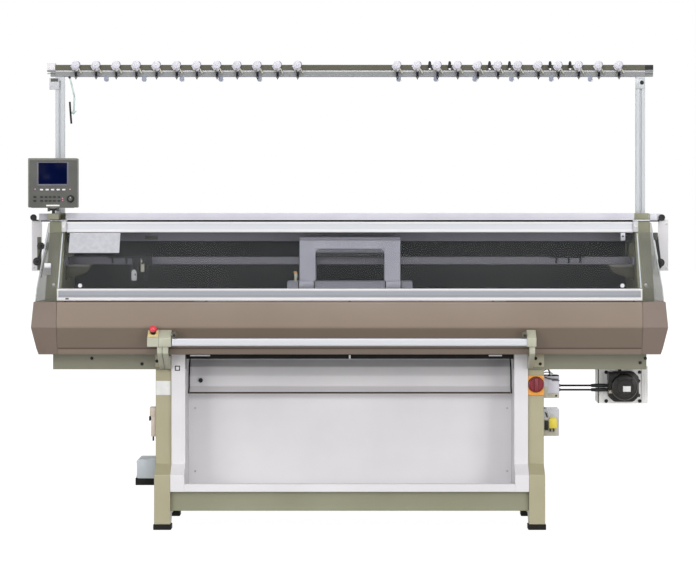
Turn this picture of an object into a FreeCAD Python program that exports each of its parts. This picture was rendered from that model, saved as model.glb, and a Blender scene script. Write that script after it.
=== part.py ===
import FreeCAD, Part
import math
import os
import Sketcher

# Computerised flat knitting machine. Millimetres. X runs to the right as seen from the front, Y to the
# back and Z up. The origin lies on the floor, midway between the ends, under the gap of the needle beds.

os.makedirs("parts", exist_ok=True)
doc = FreeCAD.newDocument("flat_knitting_machine")
sheet = doc.addObject("Spreadsheet::Sheet", "Sizes")

Vector = FreeCAD.Vector
Rotation = FreeCAD.Rotation
Placement = FreeCAD.Placement


# ---------------------------------------------------------------- sizes and formulas

def formula_of(value):
    """The sheet formula of a size, or the plain number in brackets."""
    if isinstance(value, Size):
        return value.formula
    return "(%s)" % repr(float(value))


def number_of(value):
    """The present value of a size or number."""
    if isinstance(value, Size):
        return value.value
    return float(value)


class Size:
    """A dimension that knows both its present value and the sheet formula that gives it."""

    def __init__(self, value, formula):
        self.value = float(value)
        self.formula = formula

    def __add__(self, other):
        return Size(self.value + number_of(other), "(%s + %s)" % (self.formula, formula_of(other)))

    def __radd__(self, other):
        return self + other

    def __sub__(self, other):
        return Size(self.value - number_of(other), "(%s - %s)" % (self.formula, formula_of(other)))

    def __rsub__(self, other):
        return -self + other

    def __mul__(self, other):
        return Size(self.value * number_of(other), "(%s * %s)" % (self.formula, formula_of(other)))

    def __rmul__(self, other):
        return self * other

    def __truediv__(self, other):
        return Size(self.value / number_of(other), "(%s / %s)" % (self.formula, formula_of(other)))

    def __neg__(self):
        return Size(-self.value, "(0 - %s)" % self.formula)


named_sizes = []


def size(name, value):
    """Write one driving dimension into the sheet under its alias."""
    named_sizes.append(name)
    row = len(named_sizes)
    sheet.set("A%d" % row, name)
    sheet.set("B%d" % row, repr(value))
    sheet.setAlias("B%d" % row, name)
    return Size(value, "Sizes." + name)


# Fits and sheet metal
run_gap = size("running_fit_gap", 0.05)
free_gap = size("free_gap", 0.3)
bore_clear = size("blind_bore_clearance", 2)
sheet_t = size("cover_sheet_thickness", 3)

# How far a cutting body runs past the face it opens, and a joined one into its neighbour
over = 1
# Sides of the round pieces that are drawn as fine polygons
shaft_sides = 16
wheel_sides = 28
disc_sides = 10
knob_sides = 12
dial_sides = 16
pulley_sides = 22

# Length between and over the side arms, which the long pieces follow
arm_inner = size("arm_inner_face", 1252)
arm_t = size("arm_thickness", 68)
arm_outer = arm_inner + arm_t

# Stand
leg_inner = size("leg_inner_face", 775)
leg_w = size("leg_width", 70)
foot_reach = size("foot_reach", 330)
leg_reach = size("leg_reach", 235)
pad_h = size("pad_height", 24)
pad_len = size("pad_length", 80)
pad_w = size("pad_width", 78)
foot_h = size("foot_height", 238)
kink_rise = size("kink_rise_over_foot", 42)
leg_top = size("leg_top", 690)
arch_rise = size("foot_arch_rise", 36)
stile_w = size("frame_stile_width", 70)
frame_sill = size("frame_sill_height", 190)
frame_corner = size("frame_window_corner", 30)
cross_bottom = size("cross_beam_bottom", 80)
cross_h = size("cross_beam_height", 85)
cross_t = size("cross_beam_thickness", 60)
cross_setback = size("cross_beam_setback", 30)
kink_h = foot_h + kink_rise
leg_outer = leg_inner + leg_w
leg_middle = leg_inner + leg_w / 2
cross_reach = foot_reach - cross_setback
cross_top = cross_bottom + cross_h

# Bed frame
bed_setback = size("bed_frame_end_setback", 30)
beam_reach = size("beam_reach", 250)
beam_t = size("beam_thickness", 80)
beam_h = size("beam_height", 110)
gusset_t = size("gusset_thickness", 20)
gusset_setback = size("outer_gusset_setback", 25)
beam_middle_rise = size("beam_middle_rise", 67)
guide_reach = size("carriage_guide_reach", 225)
guide_w = size("carriage_guide_width", 16)
guide_h = size("carriage_guide_height", 50)
bed_half = arm_outer - bed_setback
beam_inner = beam_reach - beam_t
gusset_drop = beam_h - beam_middle_rise
deck = leg_top + beam_h

# Columns, tray, panel and cabinet inside the stand
column_w = size("column_width", 60)
column_skin = size("column_skin_in_front_of_beam", 2)
column_rise = size("column_rise_over_beam_foot", 65)
bearing_rise = size("roller_bearing_rise", 125)
bearing_half = size("roller_bearing_half_depth", 70)
tray_rail_h = size("tray_rail_height", 33)
tray_rail_t = size("tray_rail_thickness", 40)
tray_t = size("tray_floor_thickness", 4)
panel_t = size("lower_panel_thickness", 6)
panel_rise = size("lower_panel_height", 410)
cabinet_front = size("cabinet_front_face", 30)
cabinet_rear = size("cabinet_rear_face", 290)
cabinet_rise = size("cabinet_height", 435)
cabinet_side_gap = size("cabinet_side_gap", 15)
column_inner = leg_inner - column_w
column_reach = beam_reach + column_skin

# Needle beds
needle_bed_setback = size("needle_bed_end_setback", 25)
bed_gap = size("needle_bed_half_gap", 8)
bed_rise = size("needle_bed_rise", 200)
bed_fall = size("needle_bed_fall", 170)
bed_back = size("needle_bed_back_offset", 24.75)
groove_w = size("needle_groove_width", 6)
groove_depth = size("needle_groove_depth", 6)
groove_margin = size("needle_groove_end_margin", 57.5)
groove_count = size("needle_groove_count", 24)
needle_w = size("needle_width", 3)
needle_heel = size("needle_heel_position", 136)
needle_rise = size("needle_rise_over_bed", 4)
needle_hook = size("needle_hook_length", 5)
needle_bed_half = column_inner - needle_bed_setback
gusset_end = needle_bed_half - gusset_setback
groove_pitch = (needle_bed_half - groove_margin) * 2 / (groove_count - 1)
bed_apex = deck + bed_rise

# Covers
cover_lap = size("cover_lap_on_arms", 8)
cover_rise = size("cover_top_rise", 187)
ridge_rise = size("cover_ridge_rise", 77)
fold_drop = size("cover_fold_drop", 14)
lip_drop = size("cover_lip_drop", 41)
cover_reach = size("cover_top_reach", 378)
ridge_reach = size("cover_ridge_reach", 390)
fold_reach = size("cover_fold_reach", 352)
lip_reach = size("cover_lip_reach", 340)
side_glass_lean = size("side_window_foot_reach", 38.5)
cap_rim = size("cap_rim_beside_window", 1.5)
cap_ridge_flare = size("cap_ridge_flare", 10)
cap_fold_tuck = size("cap_fold_tuck", 9)
cap_lip_tuck = size("cap_lip_tuck", 17)
cap_seam = size("cap_seam_gap", 1.2)
ledge_reach = size("cover_ledge_reach", 295)
rib_t = size("cover_rib_thickness", 4)
rib_setback = size("cover_rib_setback", 160)
cover_half = arm_inner + cover_lap
rib_pitch = cover_half - rib_setback
side_glass_foot = arm_outer + side_glass_lean
cap_top_w = side_glass_foot + cap_rim - cover_half
cap_ridge_w = cap_top_w + cap_ridge_flare
cap_fold_w = cap_top_w - cap_fold_tuck
cap_lip_w = cap_top_w - cap_lip_tuck
cover_top = deck + cover_rise
ridge_z = deck + ridge_rise
fold_z = deck - fold_drop
lip_z = deck - lip_drop

# Side arms and table
arm_waist_rise = size("arm_waist_rise", 100)
arm_shoulder_rise = size("arm_shoulder_rise", 200)
arm_nose = size("arm_nose_reach", 102)
arm_nose_drop = size("arm_nose_drop", 56)
arm_hole_bottom = size("arm_hole_bottom_rise", 275)
arm_hole_h = size("arm_hole_height", 190)
arm_hole_front = size("arm_hole_front_reach", 107)
arm_hole_rear = size("arm_hole_rear_reach", 168)
arm_hole_corner = size("arm_hole_corner", 40)
arm_block_front = size("arm_block_front_reach", 40)
table_rise = size("table_rise", 541)
table_h = size("table_height", 29)
table_front = size("table_front_reach", 92)
table_rear = size("table_rear_reach", 450)
back_t = size("back_panel_thickness", 4)
table_bottom = deck + table_rise
table_top = table_bottom + table_h

# Rails inside
crossbar_t = size("crossbar_thickness", 16)
rail_t = size("carrier_rail_thickness", 8)
rail_h = size("carrier_rail_height", 32)
rail_rise = size("carrier_rail_rise", 344)
rail_pitch = size("carrier_rail_pitch", 30)
crossbar_front = size("crossbar_front_reach", 140)
crossbar_rear = size("crossbar_rear_reach", 210)
upper_rail_front = size("upper_rail_front", 140)
upper_rail_t = size("upper_rail_thickness", 30)
upper_rail_rise = size("upper_rail_rise", 445)
upper_rail_h = size("upper_rail_height", 37)
rail_end = arm_inner - crossbar_t
rail_bottom = deck + rail_rise
rail_top = rail_bottom + rail_h

# Front window
hinge_y = size("window_hinge_reach", 106)
hinge_r = size("window_hinge_radius", 4)
knuckle_half = size("window_knuckle_half_width", 8)
knuckle_front = size("window_knuckle_front", 12)
knuckle_len = size("window_knuckle_length", 60)
knuckle_setback = size("window_knuckle_setback", 140)
top_rail_side_gap = size("window_top_rail_side_gap", 12)
top_rail_front = size("window_top_rail_front", 152)
top_rail_t = size("window_top_rail_thickness", 40)
top_rail_h = size("window_top_rail_height", 48)
top_rail_drop = size("window_top_rail_drop", 8)
glass_lap = size("window_lap_on_arms", 11)
glass_t = size("window_glass_thickness", 5)
low_rail_front = size("window_low_rail_front", 345)
low_rail_t = size("window_low_rail_thickness", 30)
low_rail_h = size("window_low_rail_height", 52)
low_rail_gap = size("window_low_rail_gap", 4)
low_rail_groove = size("window_low_rail_groove_depth", 5)
low_rail_edge = size("window_low_rail_edge", 12)
side_glass_t = size("side_window_thickness", 4)
side_glass_h = size("side_window_height", 342)
side_glass_gap = size("side_window_gap", 0.5)
top_rail_half = arm_inner - top_rail_side_gap
knuckle_pitch = top_rail_half - knuckle_setback
glass_half = arm_inner + glass_lap
hinge_z = table_bottom - hinge_r
top_rail_top = table_bottom - top_rail_drop
top_rail_bottom = top_rail_top - top_rail_h
low_rail_bottom = cover_top + low_rail_gap
low_rail_top = low_rail_bottom + low_rail_h
low_glass_y = low_rail_front - low_rail_gap

# Yarn stand
post_setback = size("post_setback", 2)
post_w = size("post_width", 40)
post_y = size("post_depth_position", 120)
post_h = size("post_height", 610)
slot_w = size("post_slot_width", 9)
slot_depth = size("post_slot_depth", 8)
bar_h = size("top_bar_height", 29)
strip_h = size("tension_plate_height", 24)
strip_over = size("tension_plate_overhang", 4)
unit_start = size("tension_unit_start", 222)
unit_margin = size("tension_unit_end_margin", 106)
unit_count = size("tension_units_per_side", 12)
disc_r = size("tension_disc_radius", 21)
disc_t = size("tension_disc_thickness", 14)
clip_w = size("tension_clip_width", 14)
clip_t = size("tension_clip_thickness", 16)
clip_h = size("tension_clip_height", 40)
eye_w = size("tension_eye_width", 5)
eye_drop = size("tension_eye_drop", 18)
bar_half = arm_outer - post_setback
post_x = bar_half - post_w / 2
unit_pitch = (bar_half - unit_margin - unit_start) / (unit_count - 1)
post_top = table_top + post_h
bar_top = post_top + bar_h
strip_top = bar_top + strip_h
disc_z = strip_top - strip_over
post_front = post_y - post_w / 2
strip_front = post_front - strip_over

# Carriage
carriage_half = size("carriage_half_length", 275)
cam_gap = size("carriage_cam_gap", 5)
carriage_inner = size("carriage_inner_reach", 42)
carriage_outer = size("carriage_outer_reach", 245)
carriage_shoulder = size("carriage_shoulder_reach", 120)
carriage_rise = size("carriage_rise_over_beds", 70)
carriage_skirt = size("carriage_skirt_drop", 15)
arch_half = size("arch_half_length", 222)
arch_window = size("arch_window_half_length", 151)
arch_h = size("arch_height", 194)
arch_beam = size("arch_beam_height", 52)
arch_outer = size("arch_outer_reach", 110)
arch_inner = size("arch_inner_reach", 80)
arch_ceiling = size("arch_ceiling_thickness", 71)
carriage_top = bed_apex + carriage_rise
arch_top = carriage_top + arch_h

# Belt drive behind the rear bed
pulley_setback = size("pulley_setback", 72)
pulley_r = size("pulley_radius", 35)
pulley_front = size("pulley_front_face", 253)
pulley_w = size("pulley_width", 23)
pulley_rise = size("pulley_rise", 80)
pulley_shaft_r = size("pulley_shaft_radius", 8)
belt_t = size("belt_thickness", 3)
belt_side = size("belt_side_gap", 1)
pulley_side_gap = size("pulley_side_gap", 4)
drive_plate_t = size("pulley_bracket_thickness", 12)
drive_plate_half = size("pulley_bracket_half_width", 40)
drive_plate_drop = size("pulley_bracket_drop", 34)
drive_plate_h = size("pulley_bracket_height", 159)
drive_foot_h = size("pulley_bracket_foot_height", 30)
clamp_half = size("belt_clamp_half_length", 30)
clamp_front = size("belt_clamp_front", 245)
clamp_rear = size("belt_clamp_rear", 282)
clamp_jaw = size("belt_clamp_jaw", 14)
pulley_x = arm_inner - pulley_setback
pulley_z = deck + pulley_rise
pulley_rear = pulley_front + pulley_w
drive_plate_front = pulley_rear + pulley_side_gap

# Takedown
roller_r = size("roller_radius", 24.8)
roller_y = size("roller_offset", 25)
roller_drop = size("roller_drop", 20)
roller_shaft_r = size("roller_shaft_radius", 8)
roller_shaft_in = size("roller_shaft_depth", 20)
roller_end_gap = size("roller_end_gap", 5)
slide_side_gap = size("takedown_cover_side_gap", 6)
slide_hinge_y = size("takedown_hinge_offset", 45)
slide_hinge_drop = size("takedown_hinge_drop", 76)
slide_hinge_r = size("takedown_hinge_half_width", 5)
slide_pin_r = size("takedown_pin_radius", 4)
slide_pin_in = size("takedown_pin_depth", 10)
slide_t = size("takedown_cover_thickness", 3)
lock_setback = size("cover_lock_setback", 54)
lock_drop = size("cover_lock_drop", 60)
lock_seat = size("cover_lock_seat", 2)
lock_r = size("cover_lock_radius", 10)
lock_t = size("cover_lock_head", 7)
lock_shaft_r = size("cover_lock_shaft_radius", 5)
lock_tongue = size("cover_lock_tongue_length", 24)
lock_x = column_inner - lock_setback
lock_z = leg_top - lock_drop
roller_z = deck - roller_drop
slide_z = deck - slide_hinge_drop

# Yarn carrier
carrier_x = size("yarn_carrier_position", 917)
carrier_half = size("yarn_carrier_half_length", 42)
carrier_wall = size("yarn_carrier_wall", 6)
carrier_cap = size("yarn_carrier_cap_height", 12)
carrier_skirt = size("yarn_carrier_skirt", 20)
carrier_arm_w = size("yarn_carrier_arm_width", 22)
carrier_arm_t = size("yarn_carrier_arm_thickness", 5)
carrier_tip_w = size("yarn_carrier_tip_width", 6)
carrier_tip_gap = size("yarn_carrier_tip_gap", 6)

# Start bar, its brackets and the stop button
head_lap = size("bracket_head_lap", 10)
head_w = size("bracket_head_width", 52)
bracket_arm_gap = size("bracket_arm_gap", 2)
head_reach = size("bracket_head_reach_over_beam", 200)
head_depth = size("bracket_head_depth", 58)
head_drop = size("bracket_head_drop", 3)
head_lip_h = size("bracket_head_lip_height", 37)
head_h = size("bracket_head_height", 71)
elbow_drop = size("bracket_elbow_drop", 48)
bar_end_gap = size("start_bar_end_gap", 5)
bar_setback = size("start_bar_setback", 8)
bar_depth = size("start_bar_depth", 24)
bar_lift = size("start_bar_lift", 2)
bar_height = size("start_bar_height", 33)
bar_round = size("start_bar_edge_radius", 7)
bar_lug_t = size("start_bar_lug_thickness", 8)
bar_pivot_in = size("start_bar_pivot_inset", 32)
bar_pivot_lift = size("start_bar_pivot_lift", 47)
bar_lug_r = size("start_bar_lug_radius", 11)
bar_pin_r = size("start_bar_pin_radius", 5)
bar_pin_in = size("start_bar_pin_depth", 15)
stop_w = size("stop_box_width", 49)
stop_tilt = size("stop_button_tilt_angle", 30.38)
stop_stem_r = size("stop_stem_radius", 9)
stop_cap_r = size("stop_cap_radius", 20)
stop_cap_t = size("stop_cap_thickness", 13)
stop_lift = size("stop_cap_lift", 20)
stop_depth = size("stop_stem_depth", 22)
stop_bore = size("stop_bore_depth", 32)
head_inner = leg_inner - head_lap
head_outer = head_inner + head_w
bracket_arm_inner = leg_inner + bracket_arm_gap
head_front = beam_reach + head_reach
head_rear = head_front - head_depth
head_bottom = deck - head_drop
head_lip = head_bottom + head_lip_h
head_peak = head_bottom + head_h
bracket_elbow = deck - elbow_drop
bar_end = head_inner - bar_end_gap
bar_face = head_front - bar_setback
bar_bottom = head_bottom + bar_lift
bar_pivot_y = bar_face - bar_pivot_in
bar_pivot_z = bar_bottom + bar_pivot_lift
stop_outer = head_outer + stop_w

# Main switch and terminal boxes on the right leg
switch_t = size("switch_plate_thickness", 8)
switch_drop = size("switch_drop", 66)
switch_plate_down = size("switch_plate_down", 46)
switch_plate_up = size("switch_plate_up", 38)
switch_r = size("switch_rotor_radius", 33)
switch_rotor_t = size("switch_rotor_thickness", 18)
switch_grip_w = size("switch_grip_width", 13)
switch_grip_t = size("switch_grip_thickness", 14)
switch_grip_half = size("switch_grip_half_length", 29)
switch_shaft_r = size("switch_shaft_radius", 6)
switch_shaft_in = size("switch_shaft_depth", 6)
box_w = size("terminal_box_width", 72)
box_front = size("terminal_box_front", 160)
box_rear = size("terminal_box_rear", 20)
box_upper_drop = size("upper_box_drop", 34)
box_upper_h = size("upper_box_height", 96)
box_lower_gap = size("lower_box_gap", 48)
box_lower_h = size("lower_box_height", 119)
switch_z = leg_top - switch_drop
box_upper_bottom = leg_top - box_upper_drop - box_upper_h
box_lower_bottom = box_upper_bottom - box_lower_gap - box_lower_h

# Drive housing, motor and cables
housing_w = size("housing_width", 221)
housing_h = size("housing_height", 164)
housing_depth = size("housing_depth", 150)
housing_corner = size("housing_corner", 6)
motor_setback = size("motor_setback", 112)
motor_drop = size("motor_drop", 86)
motor_half = size("motor_flange_half", 67)
motor_cut = size("motor_flange_corner", 24)
motor_flange_t = size("motor_flange_thickness", 60)
motor_can_r = size("motor_can_radius", 60)
motor_can_t = size("motor_can_length", 55)
plug_half = size("motor_plug_half_width", 8.5)
plug_len = size("motor_plug_length", 76)
plug_pitch = size("motor_plug_pitch", 19)
plug_y = size("motor_plug_reach", 40)
cable_r = size("motor_cable_radius", 4.2)
housing_right = arm_outer
housing_left = housing_right - housing_w
housing_bottom = leg_top - housing_h
motor_x = housing_right - motor_setback
motor_z = leg_top - motor_drop

# Suction unit on the left leg
suction_w = size("suction_width", 108)
suction_front = size("suction_front", 150)
suction_rear = size("suction_rear", 60)
suction_bottom = size("suction_bottom", 190)
suction_h = size("suction_height", 95)
suction_base_h = size("suction_base_height", 26)
suction_base_in = size("suction_base_inset", 6)
suction_bump_w = size("suction_bump_width", 34)
suction_bump_h = size("suction_bump_height", 9)

# Control panel on its post
panel_setback = size("control_panel_setback", 20)
panel_half = size("control_panel_half_width", 108)
panel_gap = size("control_panel_gap", 24)
panel_h = size("control_panel_height", 216)
panel_front = size("control_panel_front", 170)
panel_depth = size("control_panel_depth", 60)
panel_corner = size("control_panel_corner", 5)
screen_half = size("screen_half_width", 62)
screen_h = size("screen_height", 92)
screen_rise = size("screen_rise", 103)
screen_depth = size("screen_depth", 2)
key_t = size("key_height", 2)
key_h = size("key_depth", 6)
soft_key_w = size("soft_key_width", 14)
soft_key_pitch = size("soft_key_pitch", 24.3)
soft_key_rise = size("soft_key_rise", 75)
pad_key_rise = size("pad_key_rise", 28)
pad_key_row = size("pad_key_row_pitch", 16)
dial_x = size("dial_offset", 78)
dial_rise = size("dial_rise", 38)
dial_r = size("dial_radius", 16)
dial_t = size("dial_thickness", 14)
dial_shaft_r = size("dial_shaft_radius", 4)
dial_shaft_in = size("dial_shaft_depth", 9)
neck_r = size("neck_radius", 7)
neck_in = size("neck_depth", 18)
neck_setback = size("neck_setback", 22)
tilt_drop = size("tilt_axis_drop", 8)
tilt_pin_r = size("tilt_pin_radius", 4)
tilt_head_half = size("tilt_head_half_height", 5.5)
tilt_barrel_half = size("tilt_head_half_length", 15)
tilt_ear_t = size("tilt_ear_thickness", 10)
tilt_ear_half = size("tilt_ear_half_depth", 9)
mast_half = size("panel_post_half_width", 25)
mast_front = size("panel_post_front", 162)
mast_h = size("panel_post_height", 27)
panel_x = arm_outer - panel_setback
neck_y = mast_front - neck_setback
panel_bottom = table_top + panel_gap
tilt_z = panel_bottom - tilt_drop

# Side tension devices at the table ends
side_plate_standoff = size("side_plate_standoff", 44)
side_plate_w = size("side_plate_width", 44)
side_plate_t = size("side_plate_thickness", 4)
side_plate_drop = size("side_plate_drop", 226)
side_plate_front = size("side_plate_front", 24)
side_block_h = size("side_block_height", 27)
side_arm_w = size("side_arm_width", 12)
side_arm_t = size("side_arm_thickness", 6)
side_disc_r = size("side_disc_radius", 18)
side_disc_t = size("side_disc_thickness", 14)
side_knob_setback = size("side_knob_setback", 6)
side_knob_r = size("side_knob_radius", 13)
side_knob_neck = size("side_knob_neck_radius", 7)
side_knob_rise = size("side_knob_rise", 12)
side_plate_inner = arm_outer + side_plate_standoff
side_plate_outer = side_plate_inner + side_plate_w
side_knob_x = side_plate_outer - side_knob_setback


# ---------------------------------------------------------------- building helpers

nodes = []


def node(item, name):
    """Give a finished piece its node name and put it on the list to be written."""
    item.Label = name
    nodes.append(item)
    return item


def bind(item, prop, value):
    """Set a property from a number, or tie it to the sheet when it is a size."""
    if isinstance(value, Size):
        item.setExpression(prop, value.formula)
    elif "." in prop:
        item.setExpression(prop, formula_of(value))
    else:
        setattr(item, prop, value)


def set_base(item, x, y, z):
    """Put the origin of an item at a point."""
    for axis, value in zip("xyz", (x, y, z)):
        bind(item, "Placement.Base." + axis, value)


def block(name, x, y, z):
    """A box between a low and a high value on each axis."""
    item = doc.addObject("Part::Box", name)
    bind(item, "Length", x[1] - x[0])
    bind(item, "Width", y[1] - y[0])
    bind(item, "Height", z[1] - z[0])
    set_base(item, x[0], y[0], z[0])
    return item


def round_bar(name, radius, length, sides=0):
    """A cylinder, or with a number of sides a fine polygon bar with its corners on the same radius."""
    if sides:
        item = doc.addObject("Part::Prism", name)
        item.Polygon = sides
        bind(item, "Circumradius", radius)
    else:
        item = doc.addObject("Part::Cylinder", name)
        bind(item, "Radius", radius)
    bind(item, "Height", length)
    return item


def rod(name, axis, radius, low, high, first, second, sides=0):
    """A round bar along one axis from low to high; first and second are its two other coordinates."""
    item = round_bar(name, radius, high - low, sides)
    turn = {"x": Rotation(Vector(0, 1, 0), 90), "y": Rotation(Vector(1, 0, 0), -90), "z": Rotation()}
    item.Placement = Placement(Vector(0, 0, 0), turn[axis])
    spots = {"x": (low, first, second), "y": (first, low, second), "z": (first, second, low)}
    set_base(item, *spots[axis])
    return item


def joined(name, items):
    """Several touching solids made one."""
    item = doc.addObject("Part::MultiFuse", name)
    item.Shapes = items
    item.Refine = True
    return item


def cut(name, base, tool):
    """One solid less another."""
    item = doc.addObject("Part::Cut", name)
    item.Base = base
    item.Tool = tool
    item.Refine = True
    return item


def together(name, items):
    """Separate solids of one node."""
    item = doc.addObject("Part::Compound", name)
    item.Links = items
    return item


def mirrored(name, source, normal=(1, 0, 0)):
    """The mirror image of a piece across the plane through the origin with this normal."""
    item = doc.addObject("Part::Mirroring", name)
    item.Source = source
    item.Base = Vector(0, 0, 0)
    item.Normal = Vector(*normal)
    return item


def origin_part(body, role):
    """A plane or axis of a body's own origin."""
    return next(part for part in body.Origin.OriginFeatures if part.Role == role)


def new_body(name):
    """An empty body."""
    return doc.addObject("PartDesign::Body", name)


PLANES = {"x": "YZ_Plane", "y": "XZ_Plane", "z": "XY_Plane"}


def new_sketch(body, axis, height):
    """A sketch square to an axis of the body, at a height along the plane's own normal."""
    sketch = body.newObject("Sketcher::SketchObject", body.Name + "_outline")
    sketch.AttachmentSupport = [(origin_part(body, PLANES[axis]), "")]
    sketch.MapMode = "FlatFace"
    sketch.AttachmentOffset = Placement(Vector(0, 0, number_of(height)), Rotation())
    bind(sketch, "AttachmentOffset.Base.z", height)
    return sketch


def pin_point(sketch, index, point, corner):
    """Hold one point of a sketch at its two coordinates."""
    for kind, value, line in (("DistanceX", point[0], -2), ("DistanceY", point[1], -1)):
        if not isinstance(value, Size) and value == 0:
            sketch.addConstraint(Sketcher.Constraint("PointOnObject", index, corner, line))
            continue
        number = sketch.addConstraint(
            Sketcher.Constraint(kind, -1, 1, index, corner, number_of(value)))
        if isinstance(value, Size):
            sketch.setExpression("Constraints[%d]" % number, value.formula)


def draw_outline(sketch, points):
    """A closed polygon through sized points."""
    spots = [Vector(number_of(a), number_of(b), 0) for a, b in points]
    count = len(spots)
    for i in range(count):
        sketch.addGeometry(Part.LineSegment(spots[i], spots[(i + 1) % count]))
    for i in range(count):
        sketch.addConstraint(Sketcher.Constraint("Coincident", i, 2, (i + 1) % count, 1))
    for i in range(count):
        pin_point(sketch, i, points[i], 1)


def draw_circle(sketch, centre, radius):
    """A sized circle."""
    spot = Vector(number_of(centre[0]), number_of(centre[1]), 0)
    sketch.addGeometry(Part.Circle(spot, Vector(0, 0, 1), number_of(radius)))
    number = sketch.addConstraint(Sketcher.Constraint("Radius", 0, number_of(radius)))
    if isinstance(radius, Size):
        sketch.setExpression("Constraints[%d]" % number, radius.formula)
    pin_point(sketch, 0, centre, 3)


def draw(sketch, shape):
    """Draw a polygon from a list of points, or a circle from its centre and radius."""
    if isinstance(shape, list):
        draw_outline(sketch, shape)
    else:
        draw_circle(sketch, shape[0], shape[1])


def add_pad(body, axis, shape, start, length):
    """Add material: an outline square to an axis, from start over a length."""
    height = start
    if axis == "y":
        height = -(start + length)
    sketch = new_sketch(body, axis, height)
    draw(sketch, shape)
    pad = body.newObject("PartDesign::Pad", body.Name + "_pad")
    pad.Profile = sketch
    bind(pad, "Length", length)
    return pad


def add_pocket(body, axis, shape, start, length):
    """Take material away: an outline square to an axis, from start over a length."""
    height = start + length
    if axis == "y":
        height = -start
    sketch = new_sketch(body, axis, height)
    draw(sketch, shape)
    pocket = body.newObject("PartDesign::Pocket", body.Name + "_pocket")
    pocket.Profile = sketch
    bind(pocket, "Length", length)
    return pocket


def add_row(body, features, role, span, count):
    """Repeat features along an axis of the body; span runs from the first copy to the last."""
    row = body.newObject("PartDesign::LinearPattern", body.Name + "_row")
    row.Originals = features
    row.Direction = (origin_part(body, role), [""])
    bind(row, "Length", span)
    bind(row, "Occurrences", count)
    body.Tip = row
    return row


def add_round(body, base, radius, wanted):
    """Round the edges of a feature that wanted picks."""
    doc.recompute()
    names = ["Edge%d" % (i + 1) for i, edge in enumerate(base.Shape.Edges) if wanted(edge)]
    fillet = body.newObject("PartDesign::Fillet", body.Name + "_round")
    fillet.Base = (base, names)
    bind(fillet, "Radius", radius)
    return fillet


def along(edge, axis):
    """Whether an edge runs along an axis."""
    ends = [vertex.Point for vertex in edge.Vertexes]
    if len(ends) < 2:
        return False
    run = ends[1] - ends[0]
    spans = {"x": abs(run.x), "y": abs(run.y), "z": abs(run.z)}
    return spans[axis] > 0 and sum(spans.values()) - spans[axis] < 1e-6


def prism(name, axis, shape, start, length):
    """A body with one pad."""
    body = new_body(name)
    add_pad(body, axis, shape, start, length)
    return body


def rect(a, b):
    """The four corners of a rectangle between two low-high pairs."""
    return [(a[0], b[0]), (a[1], b[0]), (a[1], b[1]), (a[0], b[1])]


def ring_points(centre, radius, count):
    """The corners of a regular polygon round a centre."""
    turns = [math.tau * (i + 0.5) / count for i in range(count)]
    return [(centre[0] + radius * math.cos(turn), centre[1] + radius * math.sin(turn)) for turn in turns]


def both_ways(half):
    """A half outline and its mirror image about the vertical, as one closed outline."""
    return half + [(-y, z) for y, z in reversed(half)]


# ---------------------------------------------------------------- stand

# Four rubber pads under the feet.
pads = []
for side in (-1, 1):
    for end in (-1, 1):
        across = sorted((leg_middle * side - pad_w / 2, leg_middle * side + pad_w / 2), key=number_of)
        deep = sorted((foot_reach * end, (foot_reach - pad_len) * end), key=number_of)
        pads.append(block("pad", across, deep, (0, pad_h)))
node(together("pads", pads), "foot_pads")

# Side frame: upright casting with feet kinked to the front and the rear, an arch below and a window.
frame_half = [
    (-(foot_reach - pad_len - arch_rise), pad_h + arch_rise),
    (-(foot_reach - pad_len), pad_h),
    (-foot_reach, pad_h),
    (-foot_reach, foot_h),
    (-leg_reach, kink_h),
    (-leg_reach, leg_top),
]
frame = new_body("frame_right")
add_pad(frame, "x", both_ways(frame_half), leg_inner, leg_w)
window_reach = leg_reach - stile_w
hole = add_pocket(
    frame, "x", rect((-window_reach, window_reach), (frame_sill, leg_top - stile_w)), leg_inner, leg_w)


def in_frame_window(edge):
    centre = edge.CenterOfMass
    return (along(edge, "x") and abs(centre.y) < window_reach.value + 1
            and frame_sill.value - over < centre.z < leg_top.value - over)


add_round(frame, hole, frame_corner, in_frame_window)
node(frame, "right_side_frame")
node(mirrored("frame_left", frame), "left_side_frame")

# Cross beams between the feet.
cross_z = (cross_bottom, cross_top)
cross_front = block("cross_front", (-leg_inner, leg_inner), (-cross_reach, cross_t - cross_reach), cross_z)
cross_rear = block("cross_rear", (-leg_inner, leg_inner), (cross_reach - cross_t, cross_reach), cross_z)
node(together("cross", [cross_front, cross_rear]), "cross_beams")

# White column inside each leg; its top carries the takedown rollers and the hinge of the takedown cover.
bearing_top = leg_top + bearing_rise
column_top = leg_top + column_rise
column_outline = [
    (-foot_reach, cross_top),
    (-foot_reach, foot_h),
    (-column_reach, kink_h),
    (-column_reach, column_top),
    (-beam_reach, column_top),
    (-beam_reach, leg_top),
    (-beam_inner, leg_top),
    (-beam_inner, column_top),
    (-bearing_half, column_top),
    (-bearing_half, bearing_top),
    (bearing_half, bearing_top),
    (bearing_half, column_top),
    (beam_inner, column_top),
    (beam_inner, leg_top),
    (leg_reach, leg_top),
    (leg_reach, cross_top),
]
column = prism("column_right", "x", column_outline, column_inner, column_w)
roller_bore_r = roller_shaft_r + run_gap
bore_end = column_inner + roller_shaft_in + bore_clear
bearings = [
    rod("bearing", "x", roller_bore_r, column_inner - over, bore_end, spot, roller_z)
    for spot in (-roller_y, roller_y)
]
bearings.append(
    rod("bearing", "x", slide_pin_r + run_gap, column_inner - over, column_inner + slide_pin_in + bore_clear,
        slide_hinge_y, slide_z))
column_bored = cut("column_bored", column, together("column_bores", bearings))
node(column_bored, "right_side_panel")
node(mirrored("column_left", column_bored), "left_side_panel")

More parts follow.
